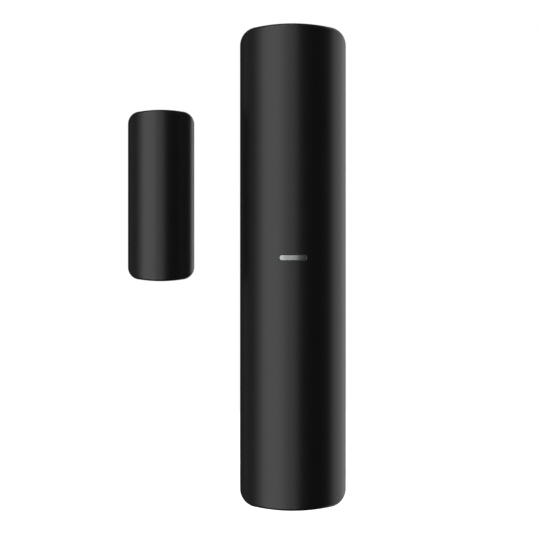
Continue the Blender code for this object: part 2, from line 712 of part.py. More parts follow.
# ---- Cell and holder -------------------------------------------------------------------------------------------


def make_holder(finishes, place):
    """An open frame: rails along both sides, and an end wall behind each contact."""
    edge = SENSOR_WALL + RUN
    outline = below(SENSOR.outline(edge), UPPER_WALL_HIGH)
    holder = plate("battery_holder", outline, HOLDER_BACK, HOLDER_RAIL_FRONT, finishes.white_plastic, place)
    bay = SENSOR.radius - edge - HOLDER_RAIL_THICKNESS
    open_depth = (1 * MM, CELL_AXIS)
    cut(holder, box_between("cell_bay", (-bay, bay), open_depth, (LOWER_WALL_HIGH, UPPER_WALL_LOW)))
    for low, high, name in (
        (LOWER_WALL_LOW, LOWER_WALL_HIGH, "lower"),
        (UPPER_WALL_LOW, UPPER_WALL_HIGH, "upper"),
    ):
        depth = (HOLDER_BACK - HOLDER_RAIL_DEPTH / 2, CELL_AXIS - HOLDER_WALL_PAST_AXIS)
        edges = (-HOLDER_HALF_WIDTH, HOLDER_HALF_WIDTH)
        join(holder, box_between(f"holder_wall_{name}", edges, depth, (low, high)))


def make_cell(finishes, place):
    bottom = (0.0, CELL_AXIS, CELL_BOTTOM)
    rim = CELL_RADIUS - CELL_EDGE
    profile = [(rim, 0.0), (CELL_RADIUS, CELL_EDGE), (CELL_RADIUS, CELL_LENGTH - CELL_EDGE), (rim, CELL_LENGTH)]
    turned("battery_can", profile, "Z", bottom, finishes.cell_steel, place)
    inner, ends = CELL_RADIUS + SEAT, (SLEEVE_MARGIN, CELL_LENGTH - SLEEVE_MARGIN)
    tube("battery_sleeve", inner, SLEEVE_RADIUS, *ends, "Z", bottom, finishes.cell_sleeve, place)
    top = (0.0, CELL_AXIS, CELL_TOP)
    nub = [(NUB_RADIUS, SEAT), (NUB_RADIUS, NUB_HEIGHT - CELL_EDGE), (NUB_RADIUS - CELL_EDGE, NUB_HEIGHT)]
    turned("battery_nub", nub, "Z", top, finishes.nickel, place)
    ends = (SEAT, SEAT + GROMMET_THICKNESS)
    tube("battery_seal", NUB_RADIUS + FIT, GROMMET_RADIUS, *ends, "Z", top, finishes.chip_black, place)


def make_contacts(finishes, place):
    """Both contacts reach in front of the board's lower edge, where they are soldered."""
    inner_end = CELL_AXIS + CONTACT_REACH
    over = CELL_AXIS - HOLDER_WALL_PAST_AXIS - SEAT - CONTACT_SHEET / 2
    foot = BOARD_FRONT - SEAT - CONTACT_SHEET / 2
    back_leg = UPPER_WALL_HIGH + SEAT + CONTACT_SHEET / 2
    path = [(inner_end, UPPER_CONTACT), (over, UPPER_CONTACT), (over, back_leg), (foot, back_leg)]
    path.append((foot, BOARD_LOW + 1.4 * MM))
    bent_strip("positive_contact", path, CONTACT_WIDTH, 0.0, finishes.nickel, place)

    sheet = (LOWER_CONTACT - CONTACT_SHEET / 2, LOWER_CONTACT + CONTACT_SHEET / 2)
    half = CONTACT_WIDTH / 2
    depth = (inner_end, over)
    negative = box_between("negative_contact", (-half, half), depth, sheet, finishes.nickel, place)
    strip_y = HOLDER_RAIL_FRONT - SEAT - CONTACT_SHEET / 2
    strip_x = SENSOR.radius - SENSOR_WALL - RUN - HOLDER_RAIL_THICKNESS + RETURN_STRIP_WIDTH / 2
    bend = UPPER_WALL_HIGH - CONTACT_SHEET / 2
    path = [(strip_y, LOWER_CONTACT - CONTACT_SHEET / 2), (strip_y, bend), (foot, bend), (foot, BOARD_LOW + 1.4 * MM)]
    strip = bent_strip("return_strip", path, RETURN_STRIP_WIDTH, strip_x)
    arm_edges = (half - 1 * MM, strip_x + RETURN_STRIP_WIDTH / 2)
    arm = box_between("contact_arm", arm_edges, (strip_y + CONTACT_SHEET / 2, inner_end - 1 * MM), sheet)
    join(negative, arm, strip)

    at = (0.0, CELL_AXIS, SPRING_LOW)
    points = coil(SPRING_BASE_RADIUS, SPRING_TIP_RADIUS, SPRING_HEIGHT, SPRING_TURNS, "Z")
    wire("negative_spring", points, SPRING_WIRE_RADIUS, at, finishes.nickel, place)


# ---- Circuit board ---------------------------------------------------------------------------------------------


def make_board(finishes, place):
    outline = above(SENSOR.outline(SENSOR_WALL + BOARD_INSET), BOARD_LOW)
    board = plate("circuit_board", outline, BOARD_BACK, BOARD_FRONT, finishes.circuit_board, place)
    for up, name in ((LOWER_SCREW_UP, "lower"), (UPPER_SCREW_UP, "upper")):
        at = (0.0, 0.0, BOARD_LOW + up)
        hole = BOARD_SCREW_RADIUS + RUN
        cut(board, turned(f"board_hole_{name}", [(hole, BOARD_BACK + 1 * MM), (hole, BOARD_FRONT - 1 * MM)], "Y", at))
        make_board_screw(f"board_screw_{name}", at, finishes, place)


def make_board_screw(name, at, finishes, place):
    seat = BOARD_FRONT - SEAT
    head_front = seat - BOARD_SCREW_HEAD
    profile = [(BOARD_SCREW_RADIUS, seat + BOARD_SCREW_LENGTH), (BOARD_SCREW_RADIUS, seat)]
    profile += [(BOARD_SCREW_HEAD_RADIUS, seat), (BOARD_SCREW_HEAD_RADIUS, head_front)]
    screw = turned(name, profile, "Y", at, finishes.nickel, place)
    half = BOARD_SCREW_SLOT / 2
    length = BOARD_SCREW_HEAD_RADIUS - half
    level = at[2]
    depth = (head_front + BOARD_SCREW_HEAD / 2, head_front - 1 * MM)
    across = box_between(f"{name}_cross_a", (-length, length), depth, (level - half, level + half))
    down = box_between(f"{name}_cross_b", (-half, half), depth, (level - length, level + length))
    cut(screw, across, down)


def on_board(name, size, x, up, finish, place):
    """A box-shaped component on the board's front."""
    back = BOARD_FRONT - SEAT
    at = (x, back - size[1] / 2, BOARD_LOW + up)
    return box(name, size, at, finish, place)


def make_components(finishes, place):
    on_board("led_emitter", LED_SIZE, 0.0, LED_UP, finishes.white_plastic, place)
    on_board("microcontroller", CHIP_SIZE, 0.0, CHIP_UP, finishes.chip_black, place)
    on_board("crystal", CRYSTAL_SIZE, CRYSTAL_OFFSET, CRYSTAL_UP, finishes.cell_steel, place)
    make_radio_can(finishes, place)
    back = BOARD_FRONT - SEAT
    front, edge = back - CAPACITOR_HEIGHT, CAPACITOR_RADIUS - CELL_EDGE
    profile = [(CAPACITOR_RADIUS, back), (CAPACITOR_RADIUS, front + CELL_EDGE), (edge, front)]
    at = (CAPACITOR_OFFSET, 0.0, BOARD_LOW + CAPACITOR_UP)
    turned("capacitor", profile, "Y", at, finishes.cell_steel, place)
    profile = [(INDUCTOR_RADIUS, back), (INDUCTOR_RADIUS, back - INDUCTOR_HEIGHT)]
    at = (INDUCTOR_OFFSET, 0.0, BOARD_LOW + INDUCTOR_UP)
    turned("inductor", profile, "Y", at, finishes.chip_black, place)
    points = coil(ANTENNA_RADIUS, ANTENNA_RADIUS, ANTENNA_LENGTH, ANTENNA_TURNS, "Z")
    stand_off = SEAT + ANTENNA_WIRE_RADIUS + ANTENNA_RADIUS
    at = (ANTENNA_OFFSET, BOARD_FRONT - stand_off, BOARD_LOW + ANTENNA_UP)
    wire("antenna_coil", points, ANTENNA_WIRE_RADIUS, at, finishes.copper, place)


def make_radio_can(finishes, place):
    """A drawn metal lid with chamfered corners, over the radio."""
    width, depth, height = RADIO_SIZE
    a, b, c = width / 2, height / 2, RADIO_CORNER
    outline = [(a, b - c), (a - c, b), (c - a, b), (-a, b - c), (-a, c - b), (c - a, -b), (a - c, -b), (a, c - b)]
    back = BOARD_FRONT - SEAT
    at = (RADIO_OFFSET, 0.0, BOARD_LOW + RADIO_UP)
    top = [(x * (a - c / 2) / a, z * (b - c / 2) / b) for x, z in outline]
    levels = ((outline, back), (outline, back - depth + c / 2), (top, back - depth))
    rings = [[(x, y, z) for x, z in loop] for loop, y in levels]
    stack("radio_shield", rings, finishes.cell_steel, place, at)


def make_reed(side, name, finishes, place):
    """A glass tube with two blades that nearly meet. Each blade goes on as a lead and bends to the board."""
    axis_y = BOARD_FRONT - REED_STAND_OFF - REED_GLASS_RADIUS
    at = (side * REED_OFFSET, axis_y, BOARD_LOW + REED_UP)
    half = REED_GLASS_LENGTH / 2
    tube(f"reed_{name}_glass", REED_BORE_RADIUS, REED_GLASS_RADIUS, -half, half, "Z", at, finishes.glass, place)
    to_board = BOARD_FRONT - SEAT - axis_y
    for end, end_name in ((-1, "lower"), (1, "upper")):
        x = end * REED_BLADE_SPREAD
        inner = -end * REED_BLADE_OVERLAP / 2
        outer = end * REED_LEAD_REACH
        points = [(x, 0.0, inner), (x, 0.0, outer), (x, to_board, outer)]
        wire(f"reed_{name}_{end_name}_lead", points, REED_LEAD_RADIUS, at, finishes.nickel, place)


# ---- Terminal block --------------------------------------------------------------------------------------------


def make_terminal_block(finishes, place):
    level = BOARD_LOW + TERMINAL_UP
    block = on_board("terminal_block", TERMINAL_SIZE, 0.0, TERMINAL_UP, finishes.terminal_green, place)
    front = BOARD_FRONT - SEAT - TERMINAL_SIZE[1]
    head_front = front + TERMINAL_SCREW_SUNK
    tip = head_front + TERMINAL_SCREW_HEAD + TERMINAL_SCREW_LENGTH
    clamp_y = tip + RUN + CLAMP_SIZE[1] / 2
    for side, name in ((-1, "a"), (1, "b")):
        x = side * TERMINAL_PITCH / 2
        well = TERMINAL_SCREW_HEAD_RADIUS + RUN
        at = (x, head_front, level)
        well_depth = tip - head_front + RUN
        cut(block, turned(f"terminal_well_{name}", [(well, -5 * MM), (well, well_depth)], "Y", at))
        make_terminal_screw(f"terminal_screw_{name}", at, finishes, place)
        make_clamp(f"terminal_clamp_{name}", (x, clamp_y, level), finishes, place)
        edges = (x - CLAMP_SIZE[0] / 2 - SEAT, x + CLAMP_SIZE[0] / 2 + SEAT)
        depth = (clamp_y - CLAMP_SIZE[1] / 2 - SEAT, clamp_y + CLAMP_SIZE[1] / 2 + SEAT)
        ends = (level - CLAMP_SIZE[2] / 2 - SEAT, level + TERMINAL_SIZE[2])
        cut(block, box_between(f"terminal_tunnel_{name}", edges, depth, ends))


def make_terminal_screw(name, at, finishes, place):
    """A slotted screw that turns about its own axis in the block's well."""
    end = TERMINAL_SCREW_HEAD + TERMINAL_SCREW_LENGTH
    profile = [(TERMINAL_SCREW_HEAD_RADIUS, 0.0), (TERMINAL_SCREW_HEAD_RADIUS, TERMINAL_SCREW_HEAD)]
    profile += [(TERMINAL_SCREW_RADIUS, TERMINAL_SCREW_HEAD), (TERMINAL_SCREW_RADIUS, end)]
    screw = turned(name, profile, "Y", at, finishes.nickel, place)
    size = (4 * TERMINAL_SCREW_HEAD_RADIUS, TERMINAL_SCREW_HEAD, TERMINAL_SCREW_SLOT)
    cut(screw, box(f"{name}_slot", size, at))


def make_clamp(name, at, finishes, place):
    """A square cage that the screw pulls shut on the wire."""
    clamp = box(name, CLAMP_SIZE, at, finishes.nickel, place)
    cut(clamp, box(f"{name}_opening", (CLAMP_OPENING, CLAMP_OPENING, 2 * CLAMP_SIZE[2]), at))


# ---- Switches on the wall side of the board --------------------------------------------------------------------


def make_switch_body(name, width, depth, bore, up, finishes, place):
    level = BOARD_LOW + up
    back = BOARD_BACK + SEAT
    half = width / 2
    ends = (level - half, level + half)
    body = box_between(name, (-half, half), (back, back + depth), ends, finishes.chip_black, place)
    profile = [(bore + RUN, back - 1 * MM), (bore + RUN, back + depth + 1 * MM)]
    cut(body, turned(f"{name}_bore", profile, "Y", (0.0, 0.0, level)))
    return back + depth


def make_tamper_switch(finishes, place, plunger_place):
    body_face = make_switch_body(
        "tamper_switch_body", TAMPER_BODY, TAMPER_BODY_DEPTH, TAMPER_PLUNGER_RADIUS, TAMPER_UP, finishes, place
    )
    tip = BRACKET_FRONT - TAMPER_TOUCH
    flange_back = BACK_COVER_FRONT - RUN
    flange_front = flange_back - TAMPER_FLANGE
    inner_end = body_face - RUN
    stem, flange = TAMPER_PLUNGER_RADIUS, TAMPER_FLANGE_RADIUS
    profile = [(stem, tip), (stem, flange_back), (flange, flange_back), (flange, flange_front)]
    profile += [(stem, flange_front), (stem, inner_end)]
    at = (0.0, 0.0, TAMPER_LEVEL)
    turned("tamper_plunger", profile, "Y", at, finishes.white_plastic, plunger_place)
    start = flange_front - FIT - TAMPER_SPRING_WIRE_RADIUS
    end = body_face + FIT + TAMPER_SPRING_WIRE_RADIUS
    points = coil(TAMPER_SPRING_RADIUS, TAMPER_SPRING_RADIUS, end - start, TAMPER_SPRING_TURNS, "Y")
    at = (0.0, start, TAMPER_LEVEL)
    wire("tamper_spring", points, TAMPER_SPRING_WIRE_RADIUS, at, finishes.nickel, place)


def make_power_switch(finishes, place, button_place):
    body_face = make_switch_body(
        "power_switch_body", POWER_BODY, POWER_BODY_DEPTH, POWER_BUTTON_RADIUS, POWER_UP, finishes, place
    )
    tip = SENSOR_BACK - POWER_SUNK
    flange_back = BACK_COVER_FRONT - RUN
    flange_front = flange_back - POWER_FLANGE
    stem, flange = POWER_BUTTON_RADIUS, POWER_FLANGE_RADIUS
    profile = [(stem, tip), (stem, flange_back), (flange, flange_back), (flange, flange_front)]
    profile += [(stem, flange_front), (stem, body_face - RUN)]
    turned("power_button", profile, "Y", (0.0, 0.0, BOARD_LOW + POWER_UP), finishes.white_plastic, button_place)


# ---- Front shell -----------------------------------------------------------------------------------------------


def make_front_shell(finishes, place):
    shell = hollow_cover("front_shell", SENSOR, SENSOR_WALL, finishes.black_plastic, place)
    inner_front = SENSOR.front + SENSOR_WALL
    collar_back = inner_front + COLLAR_DEPTH
    margin = FIT + COLLAR_WALL
    width, height = GUIDE_WIDTH + 2 * margin, GUIDE_HEIGHT + 2 * margin
    at = (0.0, 0.0, GUIDE_LEVEL)
    join(shell, plate("guide_collar", pill(width, height), collar_back, inner_front - SENSOR_WALL / 2, at=at))
    width, height = GUIDE_WIDTH + 2 * FIT, GUIDE_HEIGHT + 2 * FIT
    cut(shell, plate("guide_slot", pill(width, height), collar_back + 1 * MM, SENSOR.front - 1 * MM, at=at))
    make_light_guide(collar_back, finishes, place)


def make_light_guide(collar_back, finishes, place):
    """A clear bar from just over the LED to the front, with a flange behind the shell's collar."""
    at = (0.0, 0.0, GUIDE_LEVEL)
    back = BOARD_FRONT - SEAT - LED_SIZE[1] - LED_TO_GUIDE
    outline = pill(GUIDE_WIDTH, GUIDE_HEIGHT)
    guide = plate("light_guide", outline, back, SENSOR.front - 1 * MM, finishes.frosted_lens, place, at)
    wide = pill(GUIDE_WIDTH + 2 * GUIDE_FLANGE_MARGIN, GUIDE_HEIGHT + 2 * GUIDE_FLANGE_MARGIN)
    start = collar_back + SEAT
    join(guide, plate("guide_flange", wide, start, start + GUIDE_FLANGE, at=at))
    reach = SENSOR.radius - GUIDE_SUNK
    profile = [(reach, -5 * MM), (reach, 5 * MM)]
    keep_inside(guide, turned("front_curve", profile, "Z", (0.0, SENSOR.centre, GUIDE_LEVEL)))


# ---- Magnet piece ----------------------------------------------------------------------------------------------


def make_magnet_base(finishes, place):
    outline = MAGNET.outline(MAGNET_BASE_INSET)
    base = plate("magnet_base", outline, -TAPE_PROUD, MAGNET_BASE_FRONT, finishes.black_plastic, place)
    ring = MAGNET.outline(MAGNET_WALL + RUN)
    root = MAGNET_BASE_FRONT + MAGNET_BASE_THICKNESS / 2
    tip = MAGNET_BASE_FRONT - SPIGOT_DEPTH
    spigot = plate("spigot", ring, root, tip, parent=place)
    hollow = MAGNET.outline(MAGNET_WALL + RUN + SPIGOT_WALL)
    bay = plate("spigot_bay", hollow, MAGNET_BASE_FRONT, tip - 1 * MM, parent=place)
    join(base, spigot)
    cut(base, bay)
    for side, name in ((-1, "lower"), (1, "upper")):
        at = (0.0, 0.0, side * MAGNET_SCREW_LEVEL)
        hole, head = MAGNET_SCREW_RADIUS, MAGNET_SCREW_HEAD_RADIUS
        seat = MAGNET_BASE_FRONT + MAGNET_SCREW_HEAD_DEPTH
        profile = [(hole, 1 * MM), (hole, seat), (head, MAGNET_BASE_FRONT), (head, MAGNET_BASE_FRONT - 1 * MM)]
        cut(base, turned(f"magnet_screw_hole_{name}", profile, "Y", at, parent=place))
    half, reach = MAGNET_TAPE_WIDTH / 2, MAGNET_TAPE_LENGTH / 2
    box_between("magnet_tape", (-half, half), (0, TAPE_FRONT), (-reach, reach), finishes.foam_tape, place)
    half, reach = half + FIT, reach + FIT
    depth = (1 * MM, TAPE_FRONT - SEAT)
    cut(base, box_between("magnet_tape_seat", (-half, half), depth, (-reach, reach), parent=place))


def make_magnet_housing(finishes, place):
    housing = hollow_cover("magnet_housing", MAGNET, MAGNET_WALL, finishes.black_plastic, place)
    half = MAGNET.radius - MAGNET_WALL / 2
    back = MAGNET_BASE_FRONT - SPIGOT_DEPTH - RUN
    clear = ROD_RADIUS + SEAT
    for side, name in ((-1, "lower"), (1, "upper")):
        level = side * CRADLE_OFFSET
        ends = (level - CRADLE_THICKNESS / 2, level + CRADLE_THICKNESS / 2)
        join(housing, make_cradle(f"rod_cradle_{name}", half, back, ends, place))
    reach = ROD_LENGTH / 2 + RUN
    axis = (0.0, MAGNET.centre, 0.0)
    bay = turned("rod_bay", [(clear, -reach), (clear, reach)], "Z", axis, parent=place)
    way_in = box_between("rod_way_in", (-clear, clear), (0.0, MAGNET.centre), (-reach, reach), parent=place)
    cut(housing, bay, way_in)
    profile = [(ROD_RADIUS - ROD_EDGE, -ROD_LENGTH / 2), (ROD_RADIUS, ROD_EDGE - ROD_LENGTH / 2)]
    profile += [(radius, -along) for radius, along in reversed(profile)]
    turned("bar_magnet", profile, "Z", axis, finishes.magnet_plating, place)
    half, reach = PAD_WIDTH / 2, PAD_LENGTH / 2
    depth = (MAGNET_BASE_FRONT - SEAT, MAGNET.centre + ROD_RADIUS + SEAT)
    box_between("magnet_pad", (-half, half), depth, (-reach, reach), finishes.foam_tape, place)


def make_cradle(name, half, back, ends, place):
    """A cross wall that fills the half-round front at one level, for the rod to lie in."""
    radius = half
    steps = 12
    arc = [math.pi * i / steps for i in range(steps + 1)]
    outline = [(radius * math.cos(t), MAGNET.centre - radius * math.sin(t)) for t in arc]
    outline = [(half, back), *outline, (-half, back)]
    rings = [[(x, y, z) for x, y in outline] for z in ends]
    return stack(name, rings, parent=place)


# ---- The whole door contact ------------------------------------------------------------------------------------


def clear_scene():
    for old in list(bpy.data.objects):
        bpy.data.objects.remove(old, do_unlink=True)


def make_sensor(finishes, wall):
    chassis = add_place("sensor_on_hooks", (0.0, 0.0, 0.0), wall)
    make_back_cover(finishes, chassis)
    make_holder(finishes, chassis)
    make_cell(finishes, chassis)
    make_contacts(finishes, chassis)
    make_board(finishes, chassis)
    make_components(finishes, chassis)
    make_reed(-1, "left", finishes, chassis)
    make_reed(1, "right", finishes, chassis)
    make_terminal_block(finishes, chassis)
    make_tamper_switch(finishes, chassis, add_place("tamper_plunger_slide", (0.0, 0.0, 0.0), chassis))
    make_power_switch(finishes, chassis, add_place("power_button_slide", (0.0, 0.0, 0.0), chassis))
    make_front_shell(finishes, add_place("front_shell_slide", (0.0, 0.0, 0.0), chassis))


def make_magnet_piece(finishes, wall):
    base = add_place("magnet_on_door", MAGNET_PLACE, wall)
    make_magnet_base(finishes, base)
    make_magnet_housing(finishes, add_place("magnet_cover_slide", (0.0, 0.0, 0.0), base))


def main():
    clear_scene()
    finishes = Finishes()
    wall = add_place("door_contact", (0.0, 0.0, 0.0))
    make_bracket(finishes, wall)
    make_sensor(finishes, wall)
    make_magnet_piece(finishes, wall)


main()
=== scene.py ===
"""Door contact sensor: its visible pieces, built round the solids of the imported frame, and a small studio.

Frame: X to the right, +Y into the wall, +Z up, in metres. Each piece stands where its solid stands.
"""

import json
import math
import random

import bmesh
import bpy
from bpy.props import FloatProperty, FloatVectorProperty, PointerProperty
from mathutils import Matrix, Vector


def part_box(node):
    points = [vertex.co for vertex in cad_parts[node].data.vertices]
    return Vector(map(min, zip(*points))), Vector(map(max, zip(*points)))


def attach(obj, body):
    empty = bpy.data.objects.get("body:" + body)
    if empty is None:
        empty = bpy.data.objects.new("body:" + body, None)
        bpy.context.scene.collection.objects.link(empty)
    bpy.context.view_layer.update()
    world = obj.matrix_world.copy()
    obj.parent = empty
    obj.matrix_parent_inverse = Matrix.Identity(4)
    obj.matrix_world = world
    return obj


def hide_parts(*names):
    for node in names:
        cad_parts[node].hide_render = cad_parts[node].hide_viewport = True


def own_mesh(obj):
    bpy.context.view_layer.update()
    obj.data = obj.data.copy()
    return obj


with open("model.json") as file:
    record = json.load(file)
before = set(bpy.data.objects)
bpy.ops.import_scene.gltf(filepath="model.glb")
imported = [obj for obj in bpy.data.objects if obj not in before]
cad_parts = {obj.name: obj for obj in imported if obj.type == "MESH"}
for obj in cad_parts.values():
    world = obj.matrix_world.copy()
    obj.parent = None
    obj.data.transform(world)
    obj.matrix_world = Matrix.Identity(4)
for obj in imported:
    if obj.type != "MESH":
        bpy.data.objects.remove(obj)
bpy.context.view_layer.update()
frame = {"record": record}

bl_info = {
    "name": "Door contact sensor",
    "version": (1, 0, 0),
    "blender": (4, 5, 0),
    "location": "3D View > Sidebar > Door contact",
    "description": "Builds a slim wireless door contact, piece by piece, on its packed frame",
    "category": "Object",
}

MM = 0.001

# What each solid belongs to: its moving body.
BODY_OF = {node: body for body, nodes in frame["record"]["behaviour"]["bodies"].items() for node in nodes}

# Smoothness of the covers.
DOME_STEPS = 10
CORNER_STEPS = 10
FRONT_STEPS = 36
EDGE_STEPS = 5


# ---- Sizes and colours that a user would change ----


def size_of(name, description, default):
    """A length in the sidebar, kept positive."""
    return FloatProperty(
        name=name, description=description, default=default, min=0.01 * MM, max=5.0 * MM, precision=4,
        subtype="DISTANCE", unit="LENGTH",
    )


def colour_of(name, description, default):
    """A colour in the sidebar."""
    return FloatVectorProperty(
        name=name, description=description, default=default, min=0.0, max=1.0, subtype="COLOR"
    )


def share_of(name, description, default):
    """A value from 0 to 1 in the sidebar."""
    return FloatProperty(
        name=name, description=description, default=default, min=0.0, max=1.0, subtype="FACTOR"
    )


class ContactSizes(bpy.types.PropertyGroup):
    """Sizes of the visible pieces. Where each piece stands comes from its solid."""

    cover_wall: size_of("Cover wall", "Thickness of both front covers", 1.2 * MM)
    cover_edge: size_of("Cover edge", "Round-over along the covers' end edges", 0.5 * MM)
    mouth_chamfer: size_of("Mouth chamfer", "Chamfer round the mouths of holes and slots", 0.1 * MM)
    seat_gap: size_of("Seat gap", "Clearance between a part and the floor of its seat", 0.2 * MM)
    tape_gap: size_of("Side gap", "Clearance at the sides of a tape or a label", 0.15 * MM)
    guide_gap: size_of("Guide gap", "Clearance round the light guide in its slot", 0.06 * MM)
    running_gap: size_of("Running gap", "Clearance round parts that slide or turn", 0.3 * MM)
    pad_bulge: size_of("Pad bulge", "How far the sides of a foam pad swell at mid height", 0.12 * MM)


class ContactColours(bpy.types.PropertyGroup):
    """Colours of the finishes, and how the plastic takes the light."""

    plastic: colour_of("Plastic", "Moulded covers, back cover and bracket", (0.0075, 0.0075, 0.008))
    gloss: share_of("Plastic roughness", "Roughness of the satin plastic", 0.34)
    grain: share_of("Plastic grain", "Strength of the etched grain on the plastic", 0.35)
    lens: colour_of("Light guide", "End face of the light guide", (0.33, 0.34, 0.35))
    foam: colour_of("Foam", "Foam tapes and the pad under the magnet", (0.62, 0.62, 0.60))
    board: colour_of("Circuit board", "Solder mask", (0.010, 0.085, 0.035))
    film: colour_of("Cell film", "Shrink film round the cell", (0.03, 0.13, 0.40))


def sizes():
    """The sizes that are set now."""
    return bpy.context.scene.contact_sizes


# ---- Shader sums ----


class Wire:
    """One socket of a shader. Sums written with it become Math nodes."""

    def __init__(self, paint, socket):
        self.paint = paint
        self.socket = socket

    def sum(self, operation, *terms):
        """One Math node on the terms."""
        return self.paint.node("ShaderNodeMath", {"operation": operation}, dict(enumerate(terms)))

    def __add__(self, other):
        return self.sum("ADD", self, other)

    __radd__ = __add__

    def __sub__(self, other):
        return self.sum("SUBTRACT", self, other)

    def __rsub__(self, other):
        return self.sum("SUBTRACT", other, self)

    def __mul__(self, other):
        return self.sum("MULTIPLY", self, other)

    __rmul__ = __mul__

    def __truediv__(self, other):
        return self.sum("DIVIDE", self, other)

    def __rtruediv__(self, other):
        return self.sum("DIVIDE", other, self)

    def __abs__(self):
        return self.sum("ABSOLUTE", self)

    def __gt__(self, other):
        return self.sum("GREATER_THAN", self, other)

    def __lt__(self, other):
        return self.sum("LESS_THAN", self, other)

    def wave(self):
        """The sine of the value, taken in radians."""
        return self.sum("SINE", self)

    def most(self, other):
        """The larger of the two."""
        return self.sum("MAXIMUM", self, other)


class Paint:
    """One material, built node by node on its Principled shader."""

    def __init__(self, name):
        self.material = bpy.data.materials.new(name)
        self.material.use_nodes = True
        self.tree = self.material.node_tree
        self.shader = self.tree.nodes["Principled BSDF"]
        place = self.tree.nodes.new("ShaderNodeTexCoord")
        self.place = Wire(self, place.outputs["Object"])

    def node(self, kind, settings=(), values=(), result=0):
        """Any node: its settings are set first, then its sockets get their values or links."""
        made = self.tree.nodes.new(kind)
        for key, value in dict(settings).items():
            if key == "stops":
                self.set_stops(made.color_ramp, value)
            else:
                setattr(made, key, value)
        for key, value in dict(values).items():
            self.feed(made.inputs[key], value)
        return Wire(self, made.outputs[result])

    def feed(self, socket, value):
        """Links a wire to a socket, or sets its value."""
        if isinstance(value, Wire):
            self.tree.links.new(value.socket, socket)
        else:
            socket.default_value = value

    @staticmethod
    def set_stops(ramp, stops):
        for i, (at, level) in enumerate(stops):
            stop = ramp.elements[i] if i < 2 else ramp.elements.new(at)
            stop.position, stop.color = at, (level, level, level, 1.0)

    def noise(self, size, detail=2.0, stretch=None):
        """Noise with features of about this size in metres, 0 to 1."""
        place = self.place
        if stretch:
            place = self.node("ShaderNodeVectorMath", {"operation": "MULTIPLY"}, {0: place, 1: stretch})
        values = {"Vector": place, "Scale": 1 / size, "Detail": detail}
        return self.node("ShaderNodeTexNoise", {}, values)

    def cells(self, size):
        """Distance to the nearest of many scattered points, with cells of about this size in metres."""
        values = {"Vector": self.place, "Scale": 1 / size}
        return self.node("ShaderNodeTexVoronoi", {"feature": "F1"}, values)

    def ramp(self, value, *stops):
        """Maps the value through grey stops: (place, level) pairs."""
        return self.node("ShaderNodeValToRGB", {"stops": stops}, {0: value})

    def along(self, axis):
        """One coordinate of the point, in metres."""
        return self.node("ShaderNodeSeparateXYZ", {}, {0: self.place}, axis)

    def edges(self):
        """1 on the narrow faces along a piece's edges, 0 elsewhere."""
        return self.node("ShaderNodeAttribute", {"attribute_name": "edge"}, {}, "Fac")

    def blend(self, share, first, second):
        """Mixes two colours by a share from 0 to 1."""
        first, second = (c if isinstance(c, Wire) else (*c, 1.0) for c in (first, second))
        return self.node("ShaderNodeMix", {"data_type": "RGBA"}, {0: share, 6: first, 7: second}, 2)

    def bump(self, height, depth, strength=1.0, under=None):
        """Normals for a height of this depth in metres, on top of other normals if given."""
        values = {"Height": height, "Distance": depth, "Strength": strength}
        if under is not None:
            values["Normal"] = under
        return self.node("ShaderNodeBump", {}, values)

    def set(self, **values):
        """Feeds the shader's own sockets: base_color=..., roughness=..., and so on."""
        for key, value in values.items():
            socket = self.shader.inputs[key.replace("_", " ").title().replace("Ior", "IOR")]
            if key == "base_color" and not isinstance(value, Wire):
                value = (*value, 1.0)
            self.feed(socket, value)
        return self.material


# ---- Finishes ----


def shade_of(colour, share):
    """The same colour, darker or lighter."""
    return tuple(min(c * share, 1.0) for c in colour)


def black_plastic(colours):
    """Satin ABS from a finely etched mould, rubbed a little smoother along the edges."""
    p = Paint("black_plastic")
    mottle, worn = p.noise(3.1 * MM, 3.0), p.noise(0.8 * MM, 4.0)
    rubbed = p.edges() * p.ramp(worn, (0.42, 0.0), (0.62, 1.0))
    base = colours.plastic
    colour = p.blend(mottle, shade_of(base, 0.85), shade_of(base, 1.15))
    colour = p.blend(rubbed * 0.5, colour, shade_of(base, 3.0))
    etch = p.bump(p.noise(0.16 * MM, 2.0), 0.006 * MM, colours.grain)
    roughness = colours.gloss + (mottle - 0.5) * 0.06 + (p.noise(0.3 * MM) - 0.5) * 0.05 - rubbed * 0.08
    return p.set(base_color=colour, roughness=roughness, normal=etch)


def lens_face(colours):
    """The polished, half-silvered look of the light guide's end."""
    p = Paint("lens_face")
    cloud = p.noise(0.5 * MM, 3.0)
    colour = p.blend(cloud, shade_of(colours.lens, 0.85), shade_of(colours.lens, 1.1))
    frost = p.bump(p.noise(0.09 * MM), 0.004 * MM, 0.4)
    return p.set(base_color=colour, roughness=0.22 + cloud * 0.06, metallic=0.85, normal=frost)


def frosted_lens():
    """Clear plastic with a faint haze, as the light guide's bar."""
    p = Paint("frosted_lens")
    haze = p.noise(0.7 * MM, 3.0)
    colour = p.blend(haze, (0.60, 0.62, 0.64), (0.74, 0.76, 0.78))
    skin = p.bump(p.noise(0.12 * MM), 0.004 * MM, 0.5)
    return p.set(
        base_color=colour, roughness=0.22 + haze * 0.12, normal=skin, transmission_weight=0.55, ior=1.49
    )


def foam(colours):
    """Closed-cell foam, cut to size, with dusty cut sides and painted shade in the pits of its cells."""
    p = Paint("foam_tape")
    cell, bubble = p.cells(0.22 * MM), p.cells(0.5 * MM)
    soil = p.noise(4.0 * MM, 4.0)
    colour = p.blend(soil * 0.4, colours.foam, shade_of(colours.foam, 0.7))
    # Painted shade: the colour darkens in the pits that the cell bump below makes.
    colour = p.blend(p.ramp(cell, (0.1, 0.5), (0.5, 0.0)), colour, shade_of(colours.foam, 0.62))
    pits = p.bump(bubble, 0.08 * MM, 0.5, p.bump(cell, 0.05 * MM, 0.7))
    return p.set(base_color=colour, roughness=0.86 + soil * 0.1, normal=pits, sheen_weight=0.1)


